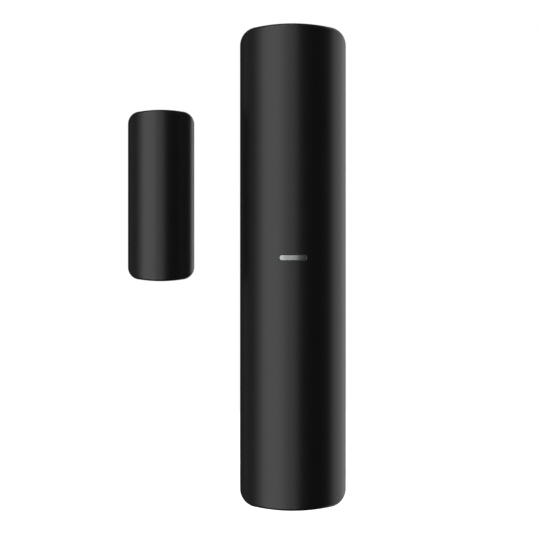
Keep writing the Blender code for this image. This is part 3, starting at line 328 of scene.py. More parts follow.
def solder_mask(colours):
    """Green mask over the board's weave, glossy, with a dull cut rim."""
    p = Paint("solder_mask")
    pitch = 2 * math.pi / (0.45 * MM)
    weave = (p.along(0) * pitch).wave() * (p.along(2) * pitch).wave()
    cloud = p.noise(6.0 * MM, 3.0)
    colour = p.blend(cloud, shade_of(colours.board, 0.8), shade_of(colours.board, 1.25))
    colour = p.blend(weave * 0.1 + 0.1, colour, shade_of(colours.board, 1.8))
    colour = p.blend(p.edges(), colour, (0.28, 0.24, 0.12))
    return p.set(base_color=colour, roughness=0.26 + cloud * 0.12, normal=p.bump(weave, 0.003 * MM, 0.5))


def run_mask(colours):
    """The mask where it lies over copper: lighter and smoother."""
    p = Paint("copper_runs_under_mask")
    cloud = p.noise(1.6 * MM, 3.0)
    colour = p.blend(cloud, shade_of(colours.board, 2.2), shade_of(colours.board, 3.0))
    return p.set(base_color=colour, roughness=0.24 + cloud * 0.1, normal=p.bump(cloud, 0.004 * MM, 0.4))


def white_plastic():
    """Nylon, slightly warm, with flow marks."""
    p = Paint("white_plastic")
    flow = p.noise(2.2 * MM, 4.0, (1.0, 1.0, 0.25))
    colour = p.blend(flow, (0.66, 0.64, 0.58), (0.78, 0.77, 0.72))
    colour = p.blend(p.edges() * 0.35, colour, (0.84, 0.83, 0.80))
    roughness, skin = 0.4 + flow * 0.14, p.bump(p.noise(0.12 * MM), 0.004 * MM, 0.5)
    return p.set(base_color=colour, roughness=roughness, normal=skin)


def metal(name, dark, light, roughness, streak=None, scratch=0.5):
    """Plated or drawn metal with fine lines and dull patches."""
    p = Paint(name)
    dull = p.noise(1.5 * MM, 4.0)
    lines = p.noise(0.25 * MM, 3.0, streak)
    colour = p.blend(p.ramp(dull, (0.35, 0.0), (0.7, 1.0)), light, dark)
    rough = roughness + dull * 0.12 + (lines - 0.5) * 0.14 - p.edges() * 0.05
    relief = p.bump(lines, 0.003 * MM, scratch)
    return p.set(base_color=colour, metallic=1.0, roughness=rough, normal=relief)


def cell_film(colours, low, high):
    """Shrink film with a plain light band, puckered where it turns in at both ends."""
    p = Paint("cell_film")
    level, scuff = p.along(2), p.noise(1.2 * MM, 4.0)
    half, middle = (high - low) / 2, (high + low) / 2
    off = abs(level - middle) / half
    band = (abs(off - 0.62) < 0.035).most(abs(off - 0.71) < 0.02)
    colour = p.blend(scuff, shade_of(colours.film, 0.85), shade_of(colours.film, 1.2))
    colour = p.blend(band * 0.9, colour, (0.62, 0.64, 0.66))
    pucker = p.noise(0.7 * MM, 2.0, (1.0, 1.0, 0.15)) * p.ramp(off, (0.84, 0.0), (1.0, 1.0))
    normal = p.bump(pucker, 0.12 * MM, 0.8, p.bump(p.noise(0.5 * MM), 0.01 * MM, 0.4))
    return p.set(base_color=colour, roughness=0.25 + scuff * 0.16, normal=normal, coat_weight=0.25)


def glass():
    """Clear glass with a green tint and a faint ripple."""
    p = Paint("reed_glass")
    ripple = p.noise(1.5 * MM, 2.0)
    colour = p.blend(ripple, (0.72, 0.86, 0.76), (0.80, 0.92, 0.84))
    return p.set(
        base_color=colour, roughness=0.03 + ripple * 0.04, transmission_weight=0.92, ior=1.5,
        normal=p.bump(ripple, 0.01 * MM, 0.3),
    )


def epoxy(name, base, roughness=0.5, size=0.12 * MM):
    """Filled moulding compound or ferrite: a fine even grain."""
    p = Paint(name)
    speck, cloud = p.noise(size, 2.0), p.noise(1.4 * MM, 3.0)
    colour = p.blend(speck, shade_of(base, 0.7), shade_of(base, 1.4))
    colour = p.blend(p.edges() * 0.4, colour, shade_of(base, 2.0))
    grain = p.bump(speck, 0.008 * MM, 0.6)
    return p.set(base_color=colour, roughness=roughness + cloud * 0.12, normal=grain)


def paper():
    """Uncoated label paper with fibres and soft grey patches."""
    p = Paint("label_paper")
    fibre, soil = p.noise(0.2 * MM, 5.0, (1.0, 1.0, 0.3)), p.noise(3.0 * MM, 3.0)
    colour = p.blend(soil, (0.74, 0.74, 0.72), (0.82, 0.82, 0.80))
    colour = p.blend(p.ramp(fibre, (0.55, 0.0), (0.8, 0.3)), colour, (0.6, 0.6, 0.58))
    return p.set(base_color=colour, roughness=0.62 + soil * 0.1, normal=p.bump(fibre, 0.008 * MM, 0.6))


class Finishes:
    """Every finish, made once and shared by the pieces."""

    def __init__(self, colours):
        low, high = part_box("battery_sleeve")
        self.black_plastic = black_plastic(colours)
        self.lens_face = lens_face(colours)
        self.frosted_lens = frosted_lens()
        self.foam_tape = foam(colours)
        self.circuit_board = solder_mask(colours)
        self.runs = run_mask(colours)
        self.white_plastic = white_plastic()
        self.nickel = metal("nickel", (0.50, 0.47, 0.42), (0.70, 0.67, 0.62), 0.2, (1.0, 1.0, 0.2))
        self.cell_steel = metal("cell_steel", (0.46, 0.46, 0.47), (0.64, 0.64, 0.65), 0.24, (0.2, 0.2, 1.0))
        self.magnet_plating = metal("magnet_plating", (0.42, 0.41, 0.40), (0.62, 0.61, 0.60), 0.16, None, 0.3)
        self.solder = metal("solder", (0.50, 0.51, 0.53), (0.72, 0.73, 0.75), 0.26, None, 0.8)
        self.copper = metal("copper_wire", (0.50, 0.20, 0.08), (0.80, 0.38, 0.18), 0.2, None, 0.3)
        self.cell_sleeve = cell_film(colours, low.z, high.z)
        self.glass = glass()
        self.chip_black = epoxy("chip_black", (0.022, 0.022, 0.024))
        self.ferrite = epoxy("ferrite", (0.045, 0.043, 0.042), 0.42, 0.2 * MM)
        self.ceramic = epoxy("tan_ceramic", (0.42, 0.30, 0.18), 0.4)
        self.phosphor = epoxy("yellow_phosphor", (0.72, 0.56, 0.10), 0.3)
        self.terminal_green = epoxy("terminal_green", (0.020, 0.26, 0.11), 0.34, 0.3 * MM)
        self.label_paper = paper()
        self.ink = epoxy("white_ink", (0.66, 0.68, 0.66), 0.55)
        self.grey_ink = epoxy("grey_ink", (0.16, 0.16, 0.17), 0.6)


SHARED_FINISHES = {}


def finishes_of(context):
    """The finishes for the colours that are set now. They are made once and shared by the pieces."""
    colours = context.scene.contact_colours
    key = (*colours.plastic, colours.gloss, colours.grain, *colours.lens)
    key += (*colours.foam, *colours.board, *colours.film)
    if key not in SHARED_FINISHES:
        SHARED_FINISHES[key] = Finishes(colours)
    return SHARED_FINISHES[key]


# ---- Shapes ----


class CoverForm:
    """A cover's outline, with domed ends and round corners, and its half-round front.

    Its size and place come from its solid.
    """

    def __init__(self, node, dome, corner):
        low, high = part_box(node)
        self.at = Vector(((low.x + high.x) / 2, 0.0, (low.z + high.z) / 2))
        self.radius = (high.x - low.x) / 2
        self.half_length = (high.z - low.z) / 2
        self.dome, self.corner = dome, corner
        self.back = high.y
        self.front = low.y
        self.centre = low.y + self.radius

    def corner_at(self, inset):
        """The upper right corner's centre (x, z) and radius, then the dome's centre and radius."""
        corner = max(self.corner - inset, 0.4 * MM)
        dome = self.dome - inset
        dome_centre = self.half_length - self.dome
        corner_x = self.radius - inset - corner
        corner_z = dome_centre + math.sqrt((dome - corner) ** 2 - corner_x**2)
        return corner_x, corner_z, corner, dome_centre, dome

    def right_edge(self, inset=0.0):
        """Points (x, z, normal x, normal z) down the right half, from top centre to bottom centre."""
        corner_x, corner_z, corner, dome_centre, dome = self.corner_at(inset)
        meet = math.atan2(corner_x, corner_z - dome_centre)
        turns = [meet * i / DOME_STEPS for i in range(DOME_STEPS)]
        arcs = [(0.0, dome_centre, dome, t) for t in turns]
        for i in range(CORNER_STEPS + 1):
            t = meet + (math.pi / 2 - meet) * i / CORNER_STEPS
            arcs.append((corner_x, corner_z, corner, t))
        upper = []
        for x, z, radius, t in arcs:
            sine, cosine = math.sin(t), math.cos(t)
            upper.append((x + radius * sine, z + radius * cosine, sine, cosine))
        return upper + [(x, -z, nx, -nz) for x, z, nx, nz in reversed(upper)]

    def outline(self, inset=0.0):
        """The whole outline as points (x, z), moved in by the inset."""
        right = [(x, z) for x, z, _, _ in self.right_edge(inset)]
        return right + [(-x, z) for x, z in reversed(right[1:-1])]

    def shape(self, base=0.0):
        """The outline as a shape that takes an inset."""
        return lambda inset: self.outline(base + inset)

    def part_above(self, level, base):
        """The part of the outline above a level, with a straight lower edge and square corners."""

        def loop(inset):
            outline, edge = self.outline(base + inset), level + inset
            half = max(x for x, z in outline)
            right = [(x, z) for x, z in outline if x > 1e-9 and z > edge]
            right.sort(key=lambda p: (-p[1], p[0]))
            top = max(z for x, z in outline)
            return [(0.0, top), *right, (half, edge), (-half, edge), *((-x, z) for x, z in reversed(right))]

        return loop

    def part_below(self, level, base):
        """The part of the outline below a level, as part_above gives it."""
        loop = self.part_above(-level, base)
        return lambda inset: [(x, -z) for x, z in loop(inset)]


def rounded(width, height, corner=None, at=(0.0, 0.0), steps=8):
    """A rectangle with round corners, or a slot or a circle, as a shape that takes an inset."""
    corner = min(width, height) / 2 if corner is None else corner

    def loop(inset):
        r = max(corner - inset, 0.0)
        a, b = width / 2 - inset - r, height / 2 - inset - r
        points = []
        for quarter, (sx, sz) in enumerate(((1, 1), (-1, 1), (-1, -1), (1, -1))):
            for i in range(steps + 1):
                turn = math.pi / 2 * (quarter + i / steps)
                points.append((at[0] + sx * a + r * math.cos(turn), at[1] + sz * b + r * math.sin(turn)))
        return points

    return loop


def add(name, mesh, at=(0.0, 0.0, 0.0)):
    """Places a mesh, curve, light or camera in the scene."""
    made = bpy.data.objects.new(name, mesh)
    bpy.context.scene.collection.objects.link(made)
    made.location = at
    return made


def body_from(bm, name, at=(0.0, 0.0, 0.0)):
    """Closes a bmesh up and places it as one object."""
    bmesh.ops.remove_doubles(bm, verts=bm.verts, dist=0.0003 * MM)
    bmesh.ops.recalc_face_normals(bm, faces=bm.faces)
    mesh = bpy.data.meshes.new(name)
    bm.to_mesh(mesh)
    bm.free()
    return add(name, mesh, at)


def side_faces(bm, rings):
    """Faces between rings of the same number of points. Gives back the rings' vertices."""
    loops = [[bm.verts.new(point) for point in ring] for ring in rings]
    for first, second in zip(loops, loops[1:]):
        for i in range(len(first)):
            j = (i + 1) % len(first)
            bm.faces.new((first[i], first[j], second[j], second[i]))
    return loops


def stack(name, rings, at=(0.0, 0.0, 0.0), capped=True):
    """A body through rings of the same number of points."""
    bm = bmesh.new()
    loops = side_faces(bm, rings)
    if capped:
        bm.faces.new(loops[0])
        bm.faces.new(loops[-1])
    return body_from(bm, name, at)


def plate(name, shape, back, front, over=0.0, at=(0.0, 0.0, 0.0), steps=3):
    """A flat piece from y = back to y = front, its rims rounded over."""
    rims = []
    for i in range(steps + 1 if over else 1):
        turn = math.pi / 2 * i / steps
        rims.append((over * (1 - math.sin(turn)), over * (1 - math.cos(turn))))
    levels = [(inset, back - rise) for inset, rise in rims]
    levels += [(inset, front + rise) for inset, rise in reversed(rims)]
    rings = [[(x, y, z) for x, z in shape(inset)] for inset, y in levels]
    return stack(name, rings, at)


def opening(name, shape, back, front, flare_back=True, flare_front=True):
    """A cutter from y = back to y = front that leaves a small chamfer where it comes out."""
    flare = sizes().mouth_chamfer
    levels = [(0.0, back)]
    if flare_back:
        levels = [(-flare, back + 1 * MM), (-flare, back), (0.0, back - flare)]
    if flare_front:
        levels += [(0.0, front + flare), (-flare, front), (-flare, front - 1 * MM)]
    else:
        levels.append((0.0, front))
    return stack(name, [[(x, y, z) for x, z in shape(inset)] for inset, y in levels])


def turned(name, profile, axis, at, over=0.0, segments=48):
    """A body turned about its axis from (radius, distance along) points, its corners rounded over."""
    profile = soften(profile, over) if over else profile
    rings = []
    for radius, along in profile:
        ring = []
        for i in range(segments):
            turn = 2 * math.pi * i / segments
            a, b = radius * math.cos(turn), radius * math.sin(turn)
            ring.append((a, along, b) if axis == "Y" else (a, b, along))
        rings.append(ring)
    return stack(name, rings, at, capped=profile[0][0] > 0 and tuple(profile[0]) != tuple(profile[-1]))


def soften(points, radius, steps=3, closed=False):
    """Rounds the corners of a line of points."""
    made = []
    count = len(points)
    for i, point in enumerate(points):
        if not closed and i in (0, count - 1):
            made.append(tuple(point))
            continue
        here, before, after = (Vector(p) for p in (point, points[i - 1], points[(i + 1) % count]))
        back, on = before - here, after - here
        start = here + back * min(0.45, radius / max(back.length, 1e-9))
        end = here + on * min(0.45, radius / max(on.length, 1e-9))
        for k in range(steps + 1):
            t = k / steps
            made.append(tuple(start * (1 - t) ** 2 + here * 2 * t * (1 - t) + end * t**2))
    return made


def block(name, low, high, over=0.12 * MM, steps=2):
    """A box between two corners, every edge rounded over."""
    bm = bmesh.new()
    bmesh.ops.create_cube(bm, size=1.0)
    size = [b - a for a, b in zip(low, high)]
    bmesh.ops.scale(bm, verts=bm.verts, vec=size)
    bmesh.ops.translate(bm, verts=bm.verts, vec=[(a + b) / 2 for a, b in zip(low, high)])
    if over:
        over = min(over, *(s * 0.4 for s in size))
        bmesh.ops.bevel(bm, geom=bm.edges[:], offset=over, segments=steps, profile=0.5, affect="EDGES")
    return body_from(bm, name)


def wire(name, points, radius, at=(0.0, 0.0, 0.0), sides=4):
    """A round wire along the points, with closed ends."""
    curve = bpy.data.curves.new(name, "CURVE")
    curve.dimensions = "3D"
    curve.bevel_depth = radius
    curve.bevel_resolution = sides
    curve.use_fill_caps = True
    spline = curve.splines.new("POLY")
    spline.points.add(len(points) - 1)
    for knot, point in zip(spline.points, points):
        knot.co = (*point, 1.0)
    made = add(name, curve, at)
    mesh = bpy.data.meshes.new_from_object(made.evaluated_get(bpy.context.evaluated_depsgraph_get()))
    bpy.data.objects.remove(made)
    bm = bmesh.new()
    bm.from_mesh(mesh)
    bmesh.ops.remove_doubles(bm, verts=bm.verts, dist=0.001 * MM)
    bm.to_mesh(mesh)
    bm.free()
    return add(name, mesh, at)


def coil(start_radius, end_radius, length, turns, axis, steps=28):
    """Points of a helix about an axis through the origin, from 0 to length along it."""
    points = []
    for i in range(turns * steps + 1):
        share = i / (turns * steps)
        turn = 2 * math.pi * turns * share
        radius = start_radius + (end_radius - start_radius) * share
        a, b, along = radius * math.cos(turn), radius * math.sin(turn), length * share
        points.append((a, along, b) if axis == "Y" else (a, b, along))
    return points


def bent_strip(name, path, thickness, width, centre_x, bend=0.5 * MM):
    """Sheet metal: a (y, z) centre line with round bends, thickened and given a width along X."""
    path = soften(path, bend, 5)
    near, far = [], []
    for i, (y, z) in enumerate(path):
        before, after = path[max(i - 1, 0)], path[min(i + 1, len(path) - 1)]
        along = Vector((after[0] - before[0], after[1] - before[1])).normalized() * thickness / 2
        near.append((y - along.y, z + along.x))
        far.append((y + along.y, z - along.x))
    profile = near + far[::-1]
    over = 0.05 * MM
    middle = [((a[0] + b[0]) / 2, (a[1] + b[1]) / 2) for a, b in zip(profile, profile[::-1])]
    slim = [(p[0] + (m[0] - p[0]) * 0.3, p[1] + (m[1] - p[1]) * 0.3) for p, m in zip(profile, middle)]
    half = width / 2
    levels = ((slim, -half), (profile, over - half), (profile, half - over), (slim, half))
    return stack(name, [[(centre_x + x, y, z) for y, z in loop] for loop, x in levels])


def ribbon(bm, points, width, y, rise):
    """A flat run on a face along (x, z) points, with mitred bends. It closes if its ends meet."""
    closed = points[0] == points[-1]
    points = points[:-1] if closed else points
    count, rows = len(points), []
    for i, point in enumerate(points):
        before = points[i - 1] if closed or i else point
        after = points[(i + 1) % count] if closed or i < count - 1 else point
        here = Vector(point)
        a, b = here - Vector(before), Vector(after) - here
        a, b = (a if a.length else b).normalized(), (b if b.length else a).normalized()
        side = Vector((-(a.y + b.y), a.x + b.x))
        side *= width / 2 / max(side.length * math.cos(a.angle(b, 0.0) / 2), 1e-9)
        n, f = here + side, here - side
        top = y - rise
        corners = ((n.x, y, n.y), (f.x, y, f.y), (f.x, top, f.y), (n.x, top, n.y))
        rows.append([bm.verts.new(corner) for corner in corners])
    for first, second in zip(rows, rows[1:] + rows[:1] if closed else rows[1:]):
        for i in range(4):
            j = (i + 1) % 4
            bm.faces.new((first[i], first[j], second[j], second[i]))
    if not closed:
        bm.faces.new(rows[0])
        bm.faces.new(rows[-1][::-1])


def combine(target, tools, operation):
    """Applies Booleans in order and removes their tools."""
    for tool in tools:
        change = target.modifiers.new(tool.name, "BOOLEAN")
        change.object = tool
        change.operation = operation
        change.solver = "EXACT"
    bake(target)
    for tool in tools:
        bpy.data.objects.remove(tool)
    bm = bmesh.new()
    bm.from_mesh(target.data)
    bmesh.ops.remove_doubles(bm, verts=bm.verts, dist=0.0005 * MM)
    bmesh.ops.dissolve_degenerate(bm, edges=bm.edges, dist=0.0005 * MM)
    bm.to_mesh(target.data)
    bm.free()
    return target


def cut(target, *tools):
    """Takes the tools' shapes out of the target."""
    return combine(target, tools, "DIFFERENCE")


def join(target, *tools):
    """Makes the target and the tools one body."""
    return combine(target, tools, "UNION")


def bake(target):
    """Replaces an object's mesh with what its modifiers make of it."""
    graph = bpy.context.evaluated_depsgraph_get()
    graph.update()
    shape = target.evaluated_get(graph)
    mesh = bpy.data.meshes.new_from_object(shape, preserve_all_data_layers=True, depsgraph=graph)
    target.modifiers.clear()
    old, target.data = target.data, mesh
    bpy.data.meshes.remove(old)


def gather(target, *others):
    """Puts other objects' meshes into one object, without joining their surfaces."""
    bm = bmesh.new()
    for obj in (target, *others):
        copy = obj.data.copy()
        copy.transform(Matrix.Translation(obj.location - target.location))
        bm.from_mesh(copy)
        bpy.data.meshes.remove(copy)
    bm.to_mesh(target.data)
    bm.free()
    for obj in others:
        bpy.data.objects.remove(obj)
    return target


def mark_edges(mesh, width):
    """Writes the attribute "edge": 1 on narrow faces that turn away from a neighbour."""
    bm = bmesh.new()
    bm.from_mesh(mesh)
    layer = bm.faces.layers.float.get("edge") or bm.faces.layers.float.new("edge")
    for face in bm.faces:
        longest = max(edge.calc_length() for edge in face.edges)
        narrow = face.calc_area() < width * longest
        turns = narrow and any(
            other.normal.angle(face.normal, 0.0) > 0.15
            for edge in face.edges for other in edge.link_faces if other != face
        )
        face[layer] = 1.0 if turns else 0.0
    bm.to_mesh(mesh)
    bm.free()


def even_normals(piece, angle):
    """Sharp edges by angle, and normals that follow the large faces."""
    piece.data.shade_smooth()
    piece.data.set_sharp_from_angle(angle=math.radians(angle))
    change = piece.modifiers.new("even_normals", "WEIGHTED_NORMAL")
    change.keep_sharp = True
    change.weight = 80
    bake(piece)


def finish_piece(piece, finish, *nodes, angle=42.0, width=0.25 * MM, stands=True):
    """Gives a piece its finish, puts it on its body and lets it stand for its solids."""
    if finish is not None:
        piece.data.materials.clear()
        piece.data.materials.append(finish)
    mark_edges(piece.data, width)
    even_normals(piece, angle)
    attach(piece, BODY_OF[nodes[0]])
    if stands:
        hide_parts(*nodes)
    return piece


# ---- Covers ----

SENSOR = CoverForm("front_shell", 35.8 * MM, 3.3 * MM)
MAGNET = CoverForm("magnet_housing", 25.5 * MM, 2.3 * MM)


def edge_round(form, x, z, nx, nz, radius, over):
    """Points round the edge between the end face and the round front, from the side to the front."""
    sine = min(x / radius, 1.0)
    cosine = math.sqrt(1 - sine * sine)
    edge = (x, form.centre - radius * cosine, z)
    side, front = (nx, 0.0, nz), (sine, -cosine, 0.0)
    between = math.acos(max(-1.0, min(1.0, nx * sine)))
    if between < 0.01 or not over:
        return [edge] * (EDGE_STEPS + 1)
    hub = [e - over * (a + b) / (1 + math.cos(between)) for e, a, b in zip(edge, side, front)]
    points = []
    for i in range(EDGE_STEPS + 1):
        turn = between * i / EDGE_STEPS
        from_side = math.sin(between - turn) / math.sin(between)
        from_front = math.sin(turn) / math.sin(between)
        spread = zip(hub, side, front)
        points.append([h + over * (from_side * a + from_front * b) for h, a, b in spread])
    return points


def skin_rings(form, inset, over):
    """Loops over a cover's skin, from its back rim round the front edge to the line down its middle."""
    radius = form.radius - inset
    spine_end = form.half_length - form.radius
    columns = []
    for x, z, nx, nz in form.right_edge(inset):
        column = [(x, form.back, z)] + edge_round(form, x, z, nx, nz, radius, over)
        edge_x, _, edge_z = column[-1]
        angle = math.asin(min(edge_x / radius, 1.0))
        spine = max(-spine_end, min(spine_end, z))
        for i in range(1, FRONT_STEPS + 1):
            share = i / FRONT_STEPS
            turn = angle * (1 - share)
            level = edge_z + (spine - edge_z) * share
            column.append((radius * math.sin(turn), form.centre - radius * math.cos(turn), level))
        columns.append(column)
    rings = []
    for right in zip(*columns):
        rings.append([*right, *((-x, y, z) for x, y, z in reversed(right[1:-1]))])
    return rings


def hollow_cover(name, form):
    """A cover of even wall, open at the back, its rim softened."""
    wall, soft = sizes().cover_wall, 0.15 * MM
    outer, inner = skin_rings(form, 0.0, sizes().cover_edge), skin_rings(form, wall, 0.2 * MM)
    rims = []
    for inset, rise in ((wall, soft), (wall - soft, 0.0), (soft, 0.0), (0.0, soft)):
        rims.append([(x, form.back - rise, z) for x, z in form.outline(inset)])
    rings = list(reversed(inner[1:])) + rims + outer[1:]
    return stack(name, rings, form.at, capped=False)


def true_front(piece, form):
    """Exact normals wherever the skin lies on the half-round, so reflections run clean."""
    mesh = piece.data
    near, facing = 0.004 * MM, 0.94
    normals = [corner.vector.copy() for corner in mesh.corner_normals]
    for face in mesh.polygons:
        for loop in face.loop_indices:
            point = mesh.vertices[mesh.loops[loop].vertex_index].co
            away = Vector((point.x, point.y - form.centre, 0.0))
            if away.y >= 0.001 * MM:
                continue
            for radius, sign in ((form.radius, 1.0), (form.radius - sizes().cover_wall, -1.0)):
                outward = away.normalized() * sign
                if abs(away.length - radius) < near and outward.dot(face.normal) > facing:
                    normals[loop] = outward
    mesh.normals_split_custom_set(normals)


def divided(shape, longest):
    """The same outline with its long sides split up, so that it can follow a curve."""

    def split(inset):
        loop, dense = shape(inset), []
        for (x, z), (nx, nz) in zip(loop, loop[1:] + loop[:1]):
            parts = max(1, round(math.hypot(nx - x, nz - z) / longest))
            dense += [(x + (nx - x) * k / parts, z + (nz - z) * k / parts) for k in range(parts)]
        return dense

    return split


def follow_front(form, shape, levels):
    """Rings for a bar or cutter whose front part follows the half-round.

    Levels are (inset, y, rise). Where y is None, the ring lies on the half-round.
    """
    rings = []
    for inset, y, rise in levels:
        ring = []
        for x, z in shape(inset):
            deep = form.centre - math.sqrt(form.radius**2 - x**2) if y is None else y
            ring.append((x, deep + rise, z))
        rings.append(ring)
    return rings


def guide_level():
    """The height of the light guide's middle."""
    low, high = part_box("light_guide")
    return (low.z + high.z) / 2


GUIDE = divided(rounded(5.0 * MM, 0.95 * MM, steps=12), 0.4 * MM)
GUIDE_FLANGE = divided(rounded(6.8 * MM, 2.75 * MM, steps=12), 0.4 * MM)
COLLAR = rounded(6.9 * MM, 2.85 * MM, steps=12)
COLLAR_DEPTH = 2.6 * MM

# Where the stiffeners and the snap beads stand inside the shell.
RIB_LEVELS = (12.0 * MM, 22.0 * MM, 32.0 * MM)
SNAP_LEVELS = (-20.0 * MM, 20.0 * MM)


def shell_ribs():
    """Half-round stiffeners inside the upper part of the shell, and snap beads near its rim."""
    bore = SENSOR.radius - sizes().cover_wall
    half, low, root = 0.3 * MM, bore - 0.5 * MM, bore + 0.2 * MM
    made, rib_end = [], SENSOR.centre - 0.5 * MM
    for level in RIB_LEVELS:
        profile = [(low, -half), (root, -half), (root, half), (low, half), (low, -half)]
        rib = turned("stiffener", profile, "Z", (0.0, SENSOR.centre, level), segments=74)
        made.append(cut(rib, block("straight_side", (-1.0, rib_end, -1.0), (1.0, 1.0, 1.0), 0)))
    reach, y0, y1 = 2.5 * MM, SENSOR.back - 1.6 * MM, SENSOR.back - 0.9 * MM
    for side in (-1, 1):
        x0, x1 = sorted((side * (bore - 0.2 * MM), side * root))
        for level in SNAP_LEVELS:
            made.append(block("snap_bead", (x0, y0, level - reach), (x1, y1, level + reach), 0.15 * MM))
    return made


def make_front_shell(finishes):
    """The half-round cover, open at the back, with a collar behind the slot for the light guide."""
    shell = hollow_cover("shell_moulding", SENSOR)
    inner_front = SENSOR.front + sizes().cover_wall
    collar_back = inner_front + COLLAR_DEPTH
    shift = Vector((0.0, 0.0, guide_level())) - SENSOR.at

    def here(shape):
        return lambda inset: [(x + shift.x, z + shift.z) for x, z in shape(inset)]

    collar_front = inner_front - sizes().cover_wall / 2
    collar = plate("collar", here(COLLAR), collar_back, collar_front, 0.1 * MM, SENSOR.at)
    join(shell, collar)
    gap, lip = sizes().guide_gap, sizes().guide_gap + 0.05 * MM
    levels = [(-gap, collar_back + 1 * MM, 0.0), (-gap, None, 0.05 * MM)]
    levels += [(-lip, None, 0.0), (-lip, None, -1 * MM)]
    cut(shell, stack("slot", follow_front(SENSOR, here(GUIDE), levels), SENSOR.at))
    join(shell, *shell_ribs())
    finish_piece(shell, finishes.black_plastic, "front_shell")
    true_front(shell, SENSOR)
    make_light_guide(collar_back, finishes)


def make_light_guide(collar_back, finishes):
    """A clear bar with a flange behind the collar. Its front end follows the shell's half-round."""
    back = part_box("light_guide")[1].y
    at = (0.0, 0.0, guide_level())
    sunk, over, steps = 0.03 * MM, 0.05 * MM, 4
    start = collar_back + sizes().seat_gap
    end = start + 0.8 * MM
    wide = 0.1 * MM
    rings = []
    for shape, inset, y in (
        (GUIDE, over, back), (GUIDE, 0.0, back - over), (GUIDE, 0.0, end),
        (GUIDE_FLANGE, wide, end), (GUIDE_FLANGE, 0.0, end - wide), (GUIDE_FLANGE, 0.0, start + wide),
        (GUIDE_FLANGE, wide, start), (GUIDE, 0.0, start),
    ):
        rings.append([(x, y, z) for x, z in shape(inset)])
    for i in range(steps + 1):
        turn = math.pi / 2 * i / steps
        inset, rise = over * (1 - math.cos(turn)), sunk + over * (1 - math.sin(turn))
        rings += follow_front(SENSOR, GUIDE, [(inset, None, rise)])
    bm = bmesh.new()
    loops = side_faces(bm, rings)
    bm.faces.new(loops[0])
    last = loops[-1]
    for i in range(len(last) // 2 - 1):
        bm.faces.new((last[i], last[i + 1], last[-2 - i], last[-1 - i]))
    guide = body_from(bm, "light_guide_bar", at)
    guide.data.materials.append(finishes.frosted_lens)
    guide.data.materials.append(finishes.lens_face)
    for face in guide.data.polygons:
        if face.normal.y < -0.5 and face.center.y < SENSOR.front + 1 * MM:
            face.material_index = 1
    finish_piece(guide, None, "light_guide")


def make_magnet_housing(finishes):
    """The magnet's cover, with two cross walls inside that cradle the rod."""
    housing = hollow_cover("magnet_cover_moulding", MAGNET)
    low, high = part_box("bar_magnet")
    rod = (high.x - low.x) / 2
    reach, half = (high.z - low.z) / 2 + sizes().running_gap, MAGNET.radius - sizes().cover_wall / 2
    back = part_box("magnet_pad")[1].y - 2.4 * MM + sizes().seat_gap - sizes().running_gap
    for side in (-1, 1):
        level, thick = side * 6.5 * MM, 0.6 * MM
        arc = [math.pi * i / 24 for i in range(25)]
        outline = [(half * math.cos(t), MAGNET.centre - half * math.sin(t)) for t in arc]
        outline = [(half, back), *outline, (-half, back)]
        rings = [[(x, y, z) for x, y in outline] for z in (level - thick, level + thick)]
        join(housing, stack("cradle", rings, MAGNET.at))
    clear = rod + sizes().seat_gap
    place = MAGNET.at + Vector((0.0, MAGNET.centre, 0.0))
    bay = turned("rod_bay", [(clear, -reach), (clear, reach)], "Z", place, segments=64)
    way = block("way_in", (-clear, MAGNET.centre, -reach), (clear, 0.0, reach), 0)
    way.location = MAGNET.at
    cut(housing, bay, way)
    finish_piece(housing, finishes.black_plastic, "magnet_housing")
    rim_blockers().objects.link(housing)
    true_front(housing, MAGNET)


# ---- Wall side: back cover, bracket, tapes ----


def soft_pad(name, node, finish):
    """A foam pad with flat faces and sides that bulge a little, its cut edges uneven."""
    low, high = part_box(node)
    size, middle = high - low, (low + high) / 2
    chance = random.Random(node)
    bulge, steps = sizes().pad_bulge, 6
    rim = rounded(size.x, size.z, 0.5 * MM, (middle.x, middle.z), 4)
    dense = divided(rim, 0.8 * MM)(0.0)
    uneven = [chance.uniform(-1.0, 1.0) * 0.05 * MM for _ in dense]
    uneven = [(uneven[i - 1] + uneven[i]) / 2 for i in range(len(uneven))]
    rings = []
    for k in range(steps + 1):
        share = k / steps
        swell = bulge * math.sin(math.pi * share) - bulge
        ring = []
        for (x, z), off in zip(dense, uneven):
            away = Vector((x - middle.x, z - middle.z))
            reach = max(size.x, size.z) / 2
            step = away * min((swell - abs(off)) / reach, 0.0)
            ring.append((x + step.x, high.y + (low.y - high.y) * share, z + step.y))
        rings.append(ring)
    pad = finish_piece(stack(name, rings), finish, node, angle=50.0)
    return pad


def seat(node, back, corner):
    """A cutter for the shallow seat of a tape or a label, open at the back."""
    low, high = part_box(node)
    gap, middle = 2 * sizes().tape_gap, ((low.x + high.x) / 2, (low.z + high.z) / 2)
    outline = rounded(high.x - low.x + gap, high.z - low.z + gap, corner, middle, 4)
    return opening("seat", outline, back, low.y - sizes().seat_gap, flare_front=False)


